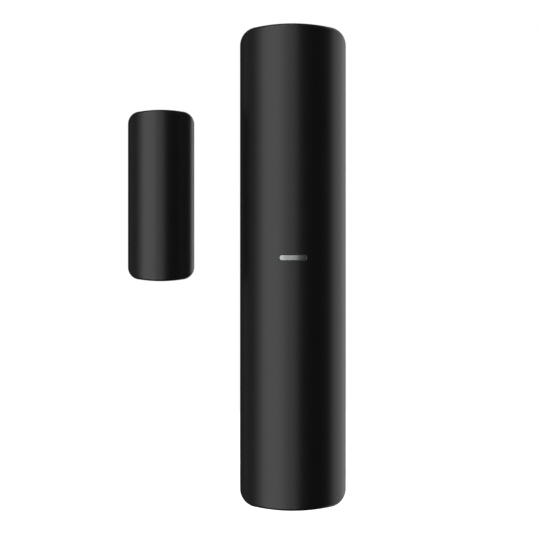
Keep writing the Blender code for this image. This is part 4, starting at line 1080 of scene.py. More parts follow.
def make_hook(name, x, level, front, lip_back):
    """A hook: a stem that grows from the bracket, and a lip that points up."""
    low, high = level - 0.7 * MM, level + 0.7 * MM
    lip_front, lip = lip_back - 1.1 * MM, 3.0 * MM
    root = front + 0.9 * MM
    top = high + lip
    profile = [(root, low - 0.3 * MM), (front, low), (lip_front, low), (lip_front, top - 0.4 * MM)]
    profile += [(lip_front + 0.5 * MM, top), (lip_back, top), (lip_back, high), (front, high)]
    profile.append((root, high + 0.3 * MM))
    profile = soften(profile, 0.15 * MM, 2, closed=True)
    over, half = 0.12 * MM, 0.9 * MM
    middle = (sum(y for y, z in profile) / len(profile), sum(z for y, z in profile) / len(profile))
    slim = [(y + (middle[0] - y) * 0.06, z + (middle[1] - z) * 0.06) for y, z in profile]
    levels = ((slim, -half), (profile, over - half), (profile, half - over), (slim, half))
    return stack(name, [[(x + dx, y, z) for y, z in loop] for loop, dx in levels])


HOOKS = [(side * 5.5 * MM, level) for level in (25.0 * MM, -27.0 * MM) for side in (-1, 1)]
BRACKET_SCREW_LEVEL = 15.2 * MM
TAPE_ENDS = ("upper", "middle", "lower")


def make_wall_bracket(finishes):
    """The plate on the wall: hooks, tape seats, screw slots and the tamper switch's break-away tab."""
    back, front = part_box("wall_bracket")[1].y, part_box("back_cover")[1].y + sizes().running_gap
    bracket = plate("bracket_plate", SENSOR.shape(0.5 * MM), back, front, 0.2 * MM)
    cover_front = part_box("battery_holder")[1].y + sizes().seat_gap
    lip_back = cover_front - sizes().running_gap
    join(bracket, *(make_hook("hook", x, z, front, lip_back) for x, z in HOOKS))
    tools = [seat(f"bracket_tape_{end}", back, 0.5 * MM) for end in TAPE_ENDS]
    for level in (BRACKET_SCREW_LEVEL, -BRACKET_SCREW_LEVEL):
        tools.append(opening("screw_slot", rounded(3.6 * MM, 5.4 * MM, at=(0, level)), back, front))
        head = rounded(6.4 * MM, 8.2 * MM, at=(0, level))
        tools.append(opening("head_seat", head, front + 0.8 * MM, front, flare_back=False))
    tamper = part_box("tamper_plunger")
    level = (tamper[0].z + tamper[1].z) / 2
    middle, half, reach, slit, web = level - 1.8 * MM, 4.3 * MM, 5.2 * MM, 0.6 * MM, 1.2 * MM
    for side in (-1, 1):
        long = rounded(slit, 2 * (reach - web), at=(side * half, middle), steps=4)
        wide = rounded(2 * (half - web), slit, at=(0, middle + side * reach), steps=4)
        tools.append(opening("long_slit", long, back, front))
        tools.append(opening("wide_slit", wide, back, front))
    hole = rounded(3.2 * MM, 3.2 * MM, at=(0, level - 3.6 * MM))
    tools.append(opening("tab_hole", hole, back, front))
    for side in (-1, 1):
        groove = rounded(2 * web, 0.35 * MM, at=(side * (half - web / 2), middle - reach), steps=3)
        tools.append(opening("snap_groove", groove, front + 0.35 * MM, front, flare_back=False))
    for x in (-3.6 * MM, 3.6 * MM):
        mark = rounded(1.6 * MM, 1.6 * MM, at=(x, -41.0 * MM))
        tools.append(opening("ejector_mark", mark, back, back - 0.1 * MM, flare_front=False))
    cut(bracket, *tools)
    finish_piece(bracket, finishes.black_plastic, "wall_bracket")
    for end in TAPE_ENDS:
        soft_pad(f"foam_pad_{end}", f"bracket_tape_{end}", finishes.foam_tape)


def make_back_cover(finishes):
    """The plate behind the sensor, with side ribs, screw posts, hook slots, holes and a knock-out."""
    back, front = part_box("back_cover")[1].y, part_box("battery_holder")[1].y + sizes().seat_gap
    board_low, board_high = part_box("circuit_board")
    post_end, bore = board_high.y + sizes().seat_gap, 0.95 * MM
    cover = plate("cover_plate", SENSOR.shape(), back, front, 0.2 * MM)
    outer = SENSOR.radius - sizes().cover_wall - sizes().running_gap
    parts, tools = [], []
    for side in (-1, 1):
        x0, x1 = sorted((side * outer, side * (outer - 1.0 * MM)))
        top = SENSOR.corner_at(sizes().cover_wall)[1] - sizes().running_gap
        low_corner = (x0, front - 2.5 * MM, board_low.z)
        parts.append(block("side_rib", low_corner, (x1, front + 0.6 * MM, top), 0.15 * MM))
    for node in ("board_screw_lower", "board_screw_upper"):
        a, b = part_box(node)
        level = (a.z + b.z) / 2
        profile = [(0.0, front + 0.6 * MM), (2.6 * MM, front + 0.1 * MM), (2.0 * MM, front - 0.5 * MM)]
        profile += [(2.0 * MM, post_end + 0.15 * MM), (1.85 * MM, post_end), (0.0, post_end)]
        parts.append(turned("post", profile, "Y", (0.0, 0.0, level)))
        profile = [(bore, b.y + sizes().running_gap), (bore, post_end + 0.12 * MM)]
        profile.append((bore + 0.2 * MM, board_high.y - 1 * MM))
        tools.append(turned("post_bore", profile, "Y", (0.0, 0.0, level), segments=32))
    join(cover, *parts)
    for x, z in HOOKS:
        width = 1.8 * MM + 2 * sizes().running_gap
        slot = rounded(width, 5.2 * MM, 0.3 * MM, (x, z + 1.0 * MM - 2.6 * MM), 4)
        tools.append(opening("hook_slot", slot, back, front))
    for node, clear in (("tamper_plunger", 1.5 * MM), ("power_button", 1.6 * MM)):
        a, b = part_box(node)
        hole = rounded(2 * clear, 2 * clear, at=(0, (a.z + b.z) / 2), steps=12)
        tools.append(opening("hole", hole, back, front))
    tools.append(seat("blank_label", back, 0.4 * MM))
    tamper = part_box("tamper_plunger")
    level = (tamper[0].z + tamper[1].z) / 2
    inner, outer, start, end = 1.2 * MM, 1.7 * MM, back + 1 * MM, front + 0.5 * MM
    profile = [(inner, start), (outer, start), (outer, end), (inner, end), (inner, start)]
    tools.append(turned("knock_out_groove", profile, "Y", (-5.3 * MM, 0.0, level)))
    for z in (-20.0 * MM, 8.0 * MM, 32.0 * MM):
        mark = rounded(1.8 * MM, 1.8 * MM, at=(-2.4 * MM if z > 20 * MM else 0.0, z))
        tools.append(opening("ejector_mark", mark, front + 0.1 * MM, front, flare_back=False))
    cut(cover, *tools)
    finish_piece(cover, finishes.black_plastic, "back_cover")
    make_label(finishes)


def make_label(finishes):
    """The blank rating label, with plain grey rules."""
    a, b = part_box("blank_label")
    middle, margin = (a.z + b.z) / 2, 0.6 * MM
    sheet = rounded(b.x - a.x, b.z - a.z, 0.4 * MM, (0, middle), 4)
    label = plate("label_sheet", sheet, b.y, a.y, 0.03 * MM, steps=2)
    finish_piece(label, finishes.label_paper, "blank_label", width=0.05 * MM)
    bm = bmesh.new()
    half_x, half_z = (b.x - a.x) / 2 - margin, (b.z - a.z) / 2 - margin
    for z0, z1 in ((-half_z, half_z), (half_z * 0.35, half_z * 0.35), (-half_z * 0.25, -half_z * 0.25)):
        points = [(-half_x, middle + z0), (half_x, middle + z0)]
        if z0 != z1:
            points += [(half_x, middle + z1), (-half_x, middle + z1), (-half_x, middle + z0)]
        ribbon(bm, points, 0.12 * MM, b.y + 0.004 * MM, 0.01 * MM)
    rules = body_from(bm, "label_rules")
    finish_piece(rules, finishes.grey_ink, "blank_label", stands=False)


# ---- Cell and its holder ----


def make_cell(finishes):
    """The cell: a steel can, its shrink film, its top cap and the ring that seals it."""
    low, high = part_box("battery_can")
    radius, length = (high.x - low.x) / 2, high.z - low.z
    at = ((low.x + high.x) / 2, (low.y + high.y) / 2, low.z)
    e = 0.5 * MM
    profile = [(0.0, 0.15 * MM), (radius - 2.2 * MM, 0.15 * MM), (radius - 1.8 * MM, 0.0)]
    profile += [(radius - e, 0.0), (radius, e), (radius, length - e), (radius - e, length)]
    profile += [(radius - 1.0 * MM, length), (radius - 1.2 * MM, length - 0.3 * MM)]
    profile.append((0.0, length - 0.3 * MM))
    can = turned("cell_can", profile, "Z", at, 0.25 * MM, 72)
    finish_piece(can, finishes.cell_steel, "battery_can")
    low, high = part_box("battery_sleeve")
    outer, inner, length = (high.x - low.x) / 2, (high.x - low.x) / 2 - 0.25 * MM, high.z - low.z
    at = (at[0], at[1], low.z)
    t = 0.12 * MM
    profile = [(inner, t), (inner + t / 2, 0.0), (outer - t, 0.0), (outer, 2 * t), (outer, 1.2 * MM)]
    profile += [(outer, length - 1.2 * MM), (outer, length - 2 * t), (outer - t, length)]
    profile += [(inner + t / 2, length), (inner, length - t), (inner, t)]
    film = turned("cell_film", profile, "Z", at, segments=96)
    chance = random.Random("film")
    folds = []
    for _ in range(6):
        folds.append((chance.randint(7, 23), chance.uniform(0, 6.3), chance.uniform(0.2, 1.0)))
    for vertex in film.data.vertices:
        x, y, z = vertex.co
        near = max(0.0, 1 - min(z, length - z) / (1.2 * MM))
        turn = math.atan2(y, x)
        ripple = sum(w * math.sin(n * turn + p) for n, p, w in folds) / 3
        squeeze = 1 - (0.035 * MM * near * (1 + ripple)) / outer
        vertex.co.x, vertex.co.y = x * squeeze, y * squeeze
    finish_piece(film, finishes.cell_sleeve, "battery_sleeve", angle=60)
    low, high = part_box("battery_nub")
    r, h = (high.x - low.x) / 2, high.z - low.z
    profile = [(0.0, 0.0), (r, 0.0), (r, 0.25 * MM), (r - 0.45 * MM, 0.35 * MM)]
    profile += [(r - 0.55 * MM, h - 0.25 * MM), (r - 0.9 * MM, h), (r * 0.3, h)]
    profile += [(r * 0.25, h - 0.06 * MM), (0.0, h - 0.06 * MM)]
    nub = turned("cell_top_cap", profile, "Z", (at[0], at[1], low.z), 0.12 * MM)
    finish_piece(nub, finishes.nickel, "battery_nub")
    low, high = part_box("battery_seal")
    r, h = (high.x - low.x) / 2, high.z - low.z
    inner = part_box("battery_nub")[1].x + sizes().tape_gap
    profile = [(inner, 0.0), (r, 0.0), (r, h * 0.5), (r - 0.2 * MM, h), (inner + 0.2 * MM, h)]
    profile += [(inner, h * 0.6), (inner, 0.0)]
    seal = turned("cell_seal_ring", profile, "Z", (at[0], at[1], low.z))
    finish_piece(seal, finishes.chip_black, "battery_seal")


def make_holder(finishes):
    """The open frame round the cell: rails along both sides and two end walls."""
    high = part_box("battery_holder")[1]
    cell_low, cell_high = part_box("battery_can")
    axis_y = (cell_low.y + cell_high.y) / 2
    back, rail_front = high.y, high.y - 3.0 * MM
    edge = sizes().cover_wall + sizes().running_gap
    wall = 0.9 * MM
    upper, lower = high.z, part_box("negative_contact")[0].z - sizes().seat_gap - wall
    holder = plate("holder_rails", SENSOR.part_below(upper, edge), back, rail_front, 0.15 * MM)
    bay = SENSOR.radius - edge - 1.2 * MM
    cut(holder, block("cell_bay", (-bay, axis_y, lower + wall), (bay, 1 * MM, upper - wall), 0))
    parts = []
    for a, b in ((lower, lower + wall), (upper - wall, upper)):
        depth = (axis_y - 0.8 * MM, back - 1.5 * MM)
        parts.append(block("holder_wall", (-6.6 * MM, depth[0], a), (6.6 * MM, depth[1], b), 0.15 * MM))
    join(holder, *parts)
    finish_piece(holder, finishes.white_plastic, "battery_holder")


def make_contacts(finishes):
    """Both plated contacts and the conical spring."""
    board_low, holder_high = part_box("circuit_board")[0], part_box("battery_holder")[1]
    thick = 0.3 * MM
    low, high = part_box("positive_contact")
    cell_low, cell_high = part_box("battery_can")
    axis = (cell_low.y + cell_high.y) / 2
    nub_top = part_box("battery_nub")[1].z
    inner_end, over = axis + 3.0 * MM, low.y + thick / 2
    foot = board_low.y - sizes().seat_gap - thick / 2
    level, leg = nub_top + sizes().seat_gap + thick / 2, holder_high.z + sizes().seat_gap + thick / 2
    path = [(inner_end, level), (over, level), (over, leg), (foot, leg), (foot, high.z)]
    strip = bent_strip("plus_contact", path, thick, 6.4 * MM, 0.0, 0.35 * MM)
    finish_piece(strip, finishes.nickel, "positive_contact")

    low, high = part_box("negative_contact")
    sheet = (low.z, low.z + thick)
    half = 3.2 * MM
    negative = block("minus_plate", (-half, over, sheet[0]), (half, inner_end, sheet[1]), 0.08 * MM)
    strip_y = holder_high.y - 3.0 * MM - sizes().seat_gap - thick / 2
    bend = holder_high.z - thick / 2
    strip_x = high.x - 0.5 * MM
    path = [(strip_y, sheet[0]), (strip_y, bend), (foot, bend), (foot, high.z)]
    strip = bent_strip("minus_strip", path, thick, 1.0 * MM, strip_x, 0.3 * MM)
    low_corner = (2.2 * MM, inner_end - 1 * MM, sheet[0])
    arm = block("minus_arm", low_corner, (high.x, strip_y + thick / 2, sheet[1]), 0.08 * MM)
    gather(negative, arm, strip)
    finish_piece(negative, finishes.nickel, "negative_contact")

    low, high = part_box("negative_spring")
    r = 0.25 * MM
    points = coil(3.4 * MM, 1.8 * MM, 1.5 * MM, 3, "Z", 36)
    spring = wire("minus_spring", points, r, (0.0, axis, low.z + r))
    finish_piece(spring, finishes.nickel, "negative_spring", width=0.01 * MM)


# ---- Circuit board ----


def blocks(name, boxes, over=0.0, steps=2):
    """Many small boxes in one object."""
    made = [block(name, low, high, over, steps) for low, high in boxes]
    return gather(*made) if len(made) > 1 else made[0]


class Board:
    """The board's faces, and a way to place things on it: up is measured from its lower edge."""

    def __init__(self):
        self.low, self.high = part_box("circuit_board")
        self.front, self.back = self.low.y, self.high.y

    def box(self, x, up, width, height, rise, lift=0.0):
        """The corners of a box that stands on the board's front."""
        z = self.low.z + up
        low = (x - width / 2, self.front - lift - rise, z - height / 2)
        return low, (x + width / 2, self.front - lift, z + height / 2)


PASSIVES = [(-3.4, 8.6), (3.4, 8.6)] + [(x * 1.9, 20.3) for x in (-1.5, -0.5, 0.5, 1.5)]
PASSIVES += [(-3.6, 22.4), (3.6, 22.4), (3.5, 34.6), (5.6, 34.6)]


def make_board(finishes):
    """The board with its screw holes and vias, and everything printed or soldered on it."""
    on = Board()
    outline = SENSOR.part_above(on.low.z, sizes().cover_wall + 0.4 * MM)
    board = plate("board_sheet", outline, on.back, on.front, 0.06 * MM, steps=2)
    screws = []
    for node in ("board_screw_lower", "board_screw_upper"):
        low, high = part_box(node)
        level = (low.z + high.z) / 2
        screws.append(level)
        hole = rounded(2.2 * MM, 2.2 * MM, at=(0, level), steps=10)(0.0)
        ends = (on.back + 1 * MM, on.front - 1 * MM)
        cut(board, stack("hole", [[(x, y, z) for x, z in hole] for y in ends]))
        make_board_screw(node, finishes)
    vias = [(x, up) for x in (-7.4, -5.0, 5.0, 7.4) for up in (10.6, 24.4, 36.5)]
    vias += [(-1.9, 23.0), (1.9, 23.0)]
    for x, up in vias:
        hole = rounded(0.3 * MM, 0.3 * MM, at=(x * MM, on.low.z + up * MM), steps=3)
        cut(board, opening("via", hole, on.front + 0.4 * MM, on.front, False, False))
    finish_piece(board, finishes.circuit_board, "circuit_board", width=0.07 * MM)
    make_runs(on, finishes)
    make_solder(on, finishes, vias, screws)
    make_print(on, finishes)
    make_passives(on, finishes)


def make_runs(on, finishes):
    """Copper runs under the mask: a fan from the chip to the radio, and runs to the outer parts."""
    routes = []
    for i in range(-3, 4):
        x = i * 0.55
        spread = i * 0.95
        fan = [(x, 18.3), (x, 18.9), (spread, 19.4), (spread, 21.0)]
        routes.append(fan + [(0.8 + spread, 21.9), (0.8 + spread, 24.2)])
        if abs(i) > 1:
            routes.append([(x, 11.3), (x, 10.9), (i * 1.15, 10.2), (i * 1.15, 7.0), (i * 0.8, 6.2)])
    for side in (-1, 1):
        for i in range(4):
            up, step = 13.0 + i * 1.0, 0.5 * i
            x, column, last = side * (4.4 + 0.25 * i), side * 4.9, side * (5.6 + 0.4 * i)
            bus = [(side * 3.4, up), (x, up), (column, up + 0.5), (column, 22.5 + step)]
            routes.append(bus + [(last, 23.4 + step), (last, 24.5)])
        for route in (
            ((6.2, 8.0), (6.2, 6.4), (5.0, 5.0)),
            ((6.2, 24.0), (7.4, 25.4), (7.4, 36.0), (5.4, 38.0), (3.9, 38.0)),
            ((1.75, 36.8), (1.75, 35.9), (3.0, 34.6), (4.3, 33.3), (4.3, 32.3)),
        ):
            routes.append([(side * x, up) for x, up in route])
    bm = bmesh.new()
    for n, route in enumerate(routes):
        points = [(x * MM, on.low.z + up * MM) for x, up in route]
        width, rise = (0.2 + 0.1 * (n % 3 == 0)) * MM, (0.03 + 0.0008 * n) * MM
        ribbon(bm, points, width, on.front + 0.005 * MM, rise)
    finish_piece(body_from(bm, "copper_runs"), finishes.runs, "circuit_board", stands=False)


def tinned_ring(inner, outer, slope):
    """Half a section through a flat ring with sloping sides."""
    rise = -0.04 * MM
    return [(inner, 0.0), (outer, 0.0), (outer - slope, rise), (inner + slope, rise), (inner, 0.0)]


def make_solder(on, finishes, vias, screws):
    """Tinned rings and pads, with the solder on them."""
    discs = []
    for x, up in vias:
        at = (x * MM, on.front, on.low.z + up * MM)
        discs.append(turned("ring", tinned_ring(0.14 * MM, 0.34 * MM, 0.02 * MM), "Y", at, segments=20))
    for level in screws:
        profile = tinned_ring(1.15 * MM, 2.0 * MM, 0.05 * MM)
        discs.append(turned("ring", profile, "Y", (0, on.front, level), segments=40))
    joints = []
    for name in ("left", "right"):
        for end in ("lower", "upper"):
            low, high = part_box(f"reed_{name}_{end}_lead")
            level = high.z - 0.2 * MM if end == "upper" else low.z + 0.2 * MM
            joints.append(((low.x + high.x) / 2, level))
    low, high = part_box("antenna_coil")
    joints += [(low.x + 0.4 * MM, low.z), (low.x + 0.4 * MM, high.z)]
    for x, z in joints:
        profile = [(0.0, 0.02 * MM), (0.62 * MM, 0.02 * MM), (0.6 * MM, -0.04 * MM), (0.42 * MM, -0.1 * MM)]
        profile += [(0.26 * MM, -0.3 * MM), (0.0, -0.36 * MM)]
        discs.append(turned("joint", profile, "Y", (x, on.front, z), 0.1 * MM, 24))
    pads = []
    for x, up in PASSIVES:
        for side in (-1, 1):
            pads.append(on.box((x + side * 0.85) * MM, up * MM, 0.7 * MM, 0.9 * MM, 0.1 * MM, -0.02 * MM))
    for x in (-3.8, 3.8):
        pads.append(on.box(x * 0.5 * MM, 4.4 * MM, 0.9 * MM, 2.2 * MM, 0.12 * MM, -0.02 * MM))
    pads.append(on.box(0.0, 0.75 * MM, 6.0 * MM, 1.3 * MM, 0.16 * MM, -0.02 * MM))
    low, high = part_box("negative_contact")
    pads.append(on.box(high.x - 0.5 * MM, 0.75 * MM, 1.3 * MM, 1.3 * MM, 0.16 * MM, -0.02 * MM))
    piece = gather(blocks("solder_and_pads", pads, 0.05 * MM, 1), *discs)
    finish_piece(piece, finishes.solder, "circuit_board", stands=False, width=0.03 * MM)


def make_print(on, finishes):
    """Plain white outlines round the larger parts, and lines beside the small ones. No lettering."""
    bm = bmesh.new()
    outlines = [(0.0, 14.8, 8.2, 8.2), (0.8, 28.2, 8.8, 8.8), (6.7, 28.6, 2.4, 4.2), (0.0, 40.2, 8.4, 7.2)]
    outlines += [(0.0, 4.4, 4.6, 3.0)]
    for x, up, width, height in outlines:
        a, b = width / 2, height / 2
        corners = ((-a, 0.0), (-a, b), (a, b), (a, -b), (-a, -b), (-a, 0.0))
        points = [((x + dx) * MM, on.low.z + (up + dz) * MM) for dx, dz in corners]
        ribbon(bm, points, 0.14 * MM, on.front + 0.005 * MM, 0.06 * MM)
    for x, up in PASSIVES:
        for side in (-1, 1):
            points = [((x + dx) * MM, on.low.z + (up + side * 0.62) * MM) for dx in (-0.5, 0.5)]
            ribbon(bm, points, 0.12 * MM, on.front + 0.005 * MM, 0.055 * MM)
    piece = body_from(bm, "board_print")
    finish_piece(piece, finishes.ink, "circuit_board", stands=False, width=0.02 * MM)


def make_passives(on, finishes):
    """Small resistors and capacitors with tinned ends."""
    dark, tan, ends = [], [], []
    for i, (x, up) in enumerate(PASSIVES):
        rise = (0.45 if i % 2 else 0.7) * MM
        body = on.box(x * MM, up * MM, 1.1 * MM, 0.78 * MM, rise, 0.05 * MM)
        (tan if i % 2 == 0 else dark).append(body)
        for side in (-1, 1):
            at, high = (x + side * 0.68) * MM, rise + 0.02 * MM
            ends.append(on.box(at, up * MM, 0.34 * MM, 0.82 * MM, high, 0.04 * MM))
    for name, boxes, finish in (
        ("resistor_bodies", dark, finishes.chip_black), ("capacitor_bodies", tan, finishes.ceramic),
        ("part_ends", ends, finishes.solder),
    ):
        piece = blocks(name, boxes, 0.06 * MM)
        finish_piece(piece, finish, "circuit_board", stands=False, width=0.05 * MM)


def make_board_screw(node, finishes):
    """A pan-head screw with a cross recess and a threaded shank."""
    low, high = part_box(node)
    middle = (low + high) / 2
    head, shank, rise = (high.x - low.x) / 2, 0.8 * MM, 0.9 * MM
    profile = [(0.0, low.y), (head * 0.5, low.y + 0.03 * MM), (head * 0.85, low.y + 0.2 * MM)]
    profile += [(head, low.y + 0.5 * MM), (head, low.y + rise - 0.05 * MM)]
    profile += [(head - 0.08 * MM, low.y + rise), (shank * 0.8, low.y + rise)]
    pitch, y = 0.5 * MM, low.y + rise + 0.2 * MM
    while y < high.y - pitch:
        profile += [(shank * 0.72, y), (shank, y + pitch * 0.4), (shank * 0.72, y + pitch * 0.8)]
        y += pitch
    profile += [(shank * 0.5, high.y - 0.1 * MM), (0.0, high.y)]
    screw = turned(f"{node}_thread", profile, "Y", (0.0, 0.0, middle.z))
    wings = []
    for turn in (0, 90):
        outer, inner, half = head * 0.62, head * 0.3, 0.17 * MM
        rings = []
        for y, reach in ((low.y - 0.2 * MM, outer + 0.1 * MM), (low.y + 0.55 * MM, inner)):
            ring = [(-reach, y, -half), (reach, y, -half), (reach, y, half), (-reach, y, half)]
            rings.append([(z, y, x) if turn else (x, y, z) for x, y, z in ring])
        wings.append(stack("wing", rings, (0.0, 0.0, middle.z)))
    cut(screw, *wings)
    finish_piece(screw, finishes.nickel, node)


def make_components(finishes):
    """The larger parts on the board: LED, chip, crystal, radio can, capacitor and inductor."""
    on = Board()
    make_led(on, finishes)
    make_chip(on, finishes)
    low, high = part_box("crystal")
    middle, size = (low + high) / 2, high - low
    rim = rounded(size.x, size.z, 0.7 * MM, (middle.x, middle.z))
    foot = plate("crystal_can", rim, high.y, high.y - 0.2 * MM, 0.05 * MM)
    can = rounded(size.x - 0.3 * MM, size.z - 0.3 * MM, 0.65 * MM, (middle.x, middle.z))
    join(foot, plate("can", can, high.y - 0.1 * MM, low.y, 0.15 * MM))
    finish_piece(foot, finishes.cell_steel, "crystal")
    low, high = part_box("radio_shield")
    middle, size = (low + high) / 2, high - low
    rim = rounded(size.x, size.z, 0.6 * MM, (middle.x, middle.z))
    lid = plate("radio_lid", rim, high.y, low.y, 0.3 * MM, steps=4)
    holes, pitch = [], 1.3 * MM
    for i in range(-2, 3):
        for j in range(-2, 3):
            at = (middle.x + i * pitch, middle.z + j * pitch)
            hole = rounded(0.55 * MM, 0.55 * MM, at=at, steps=4)
            holes.append(opening("hole", hole, low.y + 0.25 * MM, low.y, False, False))
    for side in (-1, 1):
        z = middle.z + side * size.z / 2 - 0.15 * MM
        for i in (-1, 0, 1):
            notch = (middle.x + i * 2.3 * MM - 0.3 * MM, high.y - 0.35 * MM, z)
            far = [v + d for v, d in zip(notch, (0.6 * MM, 1 * MM, 0.3 * MM))]
            holes.append(block("notch", notch, far, 0))
    cut(lid, *holes)
    finish_piece(lid, finishes.cell_steel, "radio_shield")
    make_capacitor(finishes)
    make_inductor(finishes)


def make_led(on, finishes):
    """A white body with a cup of yellow phosphor and a tinned end on each side."""
    low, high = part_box("led_emitter")
    middle = (low + high) / 2
    end = 0.3 * MM
    body = block("led_body", (low.x + end, low.y, low.z), (high.x - end, high.y, high.z), 0.08 * MM)
    cup = rounded(2.0 * MM, 1.6 * MM, 0.6 * MM, (middle.x, middle.z))
    cut(body, opening("cup", cup, low.y + 0.35 * MM, low.y, flare_back=False))
    finish_piece(body, finishes.white_plastic, "led_emitter")
    fill = rounded(1.98 * MM, 1.58 * MM, 0.59 * MM, (middle.x, middle.z))
    glow = plate("led_phosphor", fill, low.y + 0.4 * MM, low.y + 0.12 * MM, 0.05 * MM)
    finish_piece(glow, finishes.phosphor, "led_emitter", stands=False)
    width, inset, ends = 0.45 * MM, 0.1 * MM, []
    for x in (low.x, high.x - width):
        ends.append(((x, high.y - 0.55 * MM, low.z + inset), (x + width, on.front, high.z - inset)))
    finish_piece(blocks("led_ends", ends, 0.06 * MM), finishes.solder, "led_emitter", stands=False)


def make_chip(on, finishes):
    """A flat package with gull-wing leads on four sides and a dimple at its first corner."""
    low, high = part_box("microcontroller")
    middle = (low + high) / 2
    half, reach = 2.75 * MM, (high.x - low.x) / 2
    rim = rounded(2 * half, 2 * half, 0.1 * MM, (middle.x, middle.z), 2)
    body = plate("chip_body", rim, high.y - 0.08 * MM, low.y, 0.08 * MM)
    at = (middle.x - half + 0.8 * MM, middle.z + half - 0.8 * MM)
    dimple = rounded(0.8 * MM, 0.8 * MM, at=at)
    cut(body, opening("dimple", dimple, low.y + 0.08 * MM, low.y, flare_back=False))
    finish_piece(body, finishes.chip_black, "microcontroller")
    leads = []
    wide, thick, top = 0.11 * MM, 0.12 * MM, low.y + 0.45 * MM
    for i in range(8):
        a = (i - 3.5) * 0.55 * MM
        for side in (-1, 1):
            for first, last, y0, y1 in (
                (half - 0.05 * MM, reach - 0.35 * MM, top, top + thick),
                (reach - 0.42 * MM, reach - 0.3 * MM, top, on.front - 0.02 * MM),
                (reach - 0.42 * MM, reach, on.front - 0.14 * MM, on.front),
            ):
                near, far = sorted((side * first, side * last))
                first_side, second_side = (near, far, a - wide, a + wide), (a - wide, a + wide, near, far)
                for x0, x1, z0, z1 in (first_side, second_side):
                    leads.append(((middle.x + x0, y0, middle.z + z0), (middle.x + x1, y1, middle.z + z1)))
    piece = blocks("chip_leads", leads, 0.03 * MM, 1)
    finish_piece(piece, finishes.solder, "microcontroller", stands=False, width=0.01 * MM)


def make_capacitor(finishes):
    """An aluminium can on a black foot, with a grooved vent and a plain dark mark."""
    low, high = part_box("capacitor")
    middle, r = (low + high) / 2, (high.x - low.x) / 2
    rim = rounded(2 * r, 2 * r, 0.5 * MM, (middle.x, middle.z))
    foot = plate("capacitor_foot", rim, high.y, high.y - 0.7 * MM, 0.08 * MM)
    finish_piece(foot, finishes.chip_black, "capacitor", stands=False)
    r -= 0.05 * MM
    profile = [(0.0, high.y - 0.5 * MM), (r, high.y - 0.5 * MM), (r, high.y - 1.2 * MM)]
    profile += [(r - 0.2 * MM, high.y - 1.4 * MM), (r, high.y - 1.6 * MM), (r, low.y + 0.25 * MM)]
    profile += [(r - 0.25 * MM, low.y), (0.0, low.y)]
    can = turned("capacitor_can", profile, "Y", (middle.x, 0.0, middle.z), 0.15 * MM)
    grooves = []
    for turn in (0.5, 2.6, 4.7):
        half, bottom = 0.05 * MM, low.y + 0.06 * MM
        groove = block("groove", (0.0, low.y - 1 * MM, -half), (1.3 * MM, bottom, half), 0)
        groove.data.transform(Matrix.Rotation(turn, 4, "Y"))
        groove.location = (middle.x, 0.0, middle.z)
        grooves.append(groove)
    cut(can, *grooves)
    finish_piece(can, finishes.cell_steel, "capacitor")
    start, reach = math.radians(200), r - 0.3 * MM
    arc = [(start + i / 16 * math.radians(100)) for i in range(17)]
    outline = [(middle.x + reach * math.cos(t), middle.z + reach * math.sin(t)) for t in arc]
    levels = (low.y + 0.01 * MM, low.y - 0.015 * MM)
    mark = stack("capacitor_mark", [[(x, y, z) for x, z in outline] for y in levels])
    finish_piece(mark, finishes.grey_ink, "capacitor", stands=False, width=0.01 * MM)


def make_inductor(finishes):
    """A ferrite drum with its copper winding."""
    low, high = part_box("inductor")
    middle, r = (low + high) / 2, (high.x - low.x) / 2
    waist = r * 0.62
    profile = [(0.0, high.y), (r, high.y), (r, high.y - 0.45 * MM), (waist, high.y - 0.55 * MM)]
    profile += [(waist, low.y + 0.55 * MM), (r, low.y + 0.45 * MM), (r, low.y), (0.0, low.y)]
    drum = turned("inductor_drum", profile, "Y", (middle.x, 0.0, middle.z), 0.08 * MM)
    finish_piece(drum, finishes.ferrite, "inductor")
    points = coil(r * 0.84, r * 0.84, -(high.y - low.y - 1.25 * MM), 7, "Y", 28)
    winding = wire("inductor_winding", points, 0.09 * MM, (middle.x, high.y - 0.62 * MM, middle.z), 2)
    finish_piece(winding, finishes.copper, "inductor", stands=False, width=0.01 * MM)


def make_antenna(finishes):
    """A helix of enamelled wire whose ends turn down to the board."""
    low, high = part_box("antenna_coil")
    on = Board()
    r_wire = 0.25 * MM
    middle = (low + high) / 2
    radius, length = (high.x - low.x) / 2 - r_wire, high.z - low.z - 2 * r_wire
    points = [(x, y, z + low.z + r_wire) for x, y, z in coil(radius, radius, length, 6, "Z", 30)]
    down = on.front - (low.y + r_wire + radius)
    first, last = points[0], points[-1]
    points = [(first[0], down, first[2])] + points + [(last[0], down, last[2])]
    antenna = wire("antenna_helix", points, r_wire, (middle.x, low.y + r_wire + radius, 0.0), 4)
    finish_piece(antenna, finishes.copper, "antenna_coil", width=0.01 * MM, angle=70)


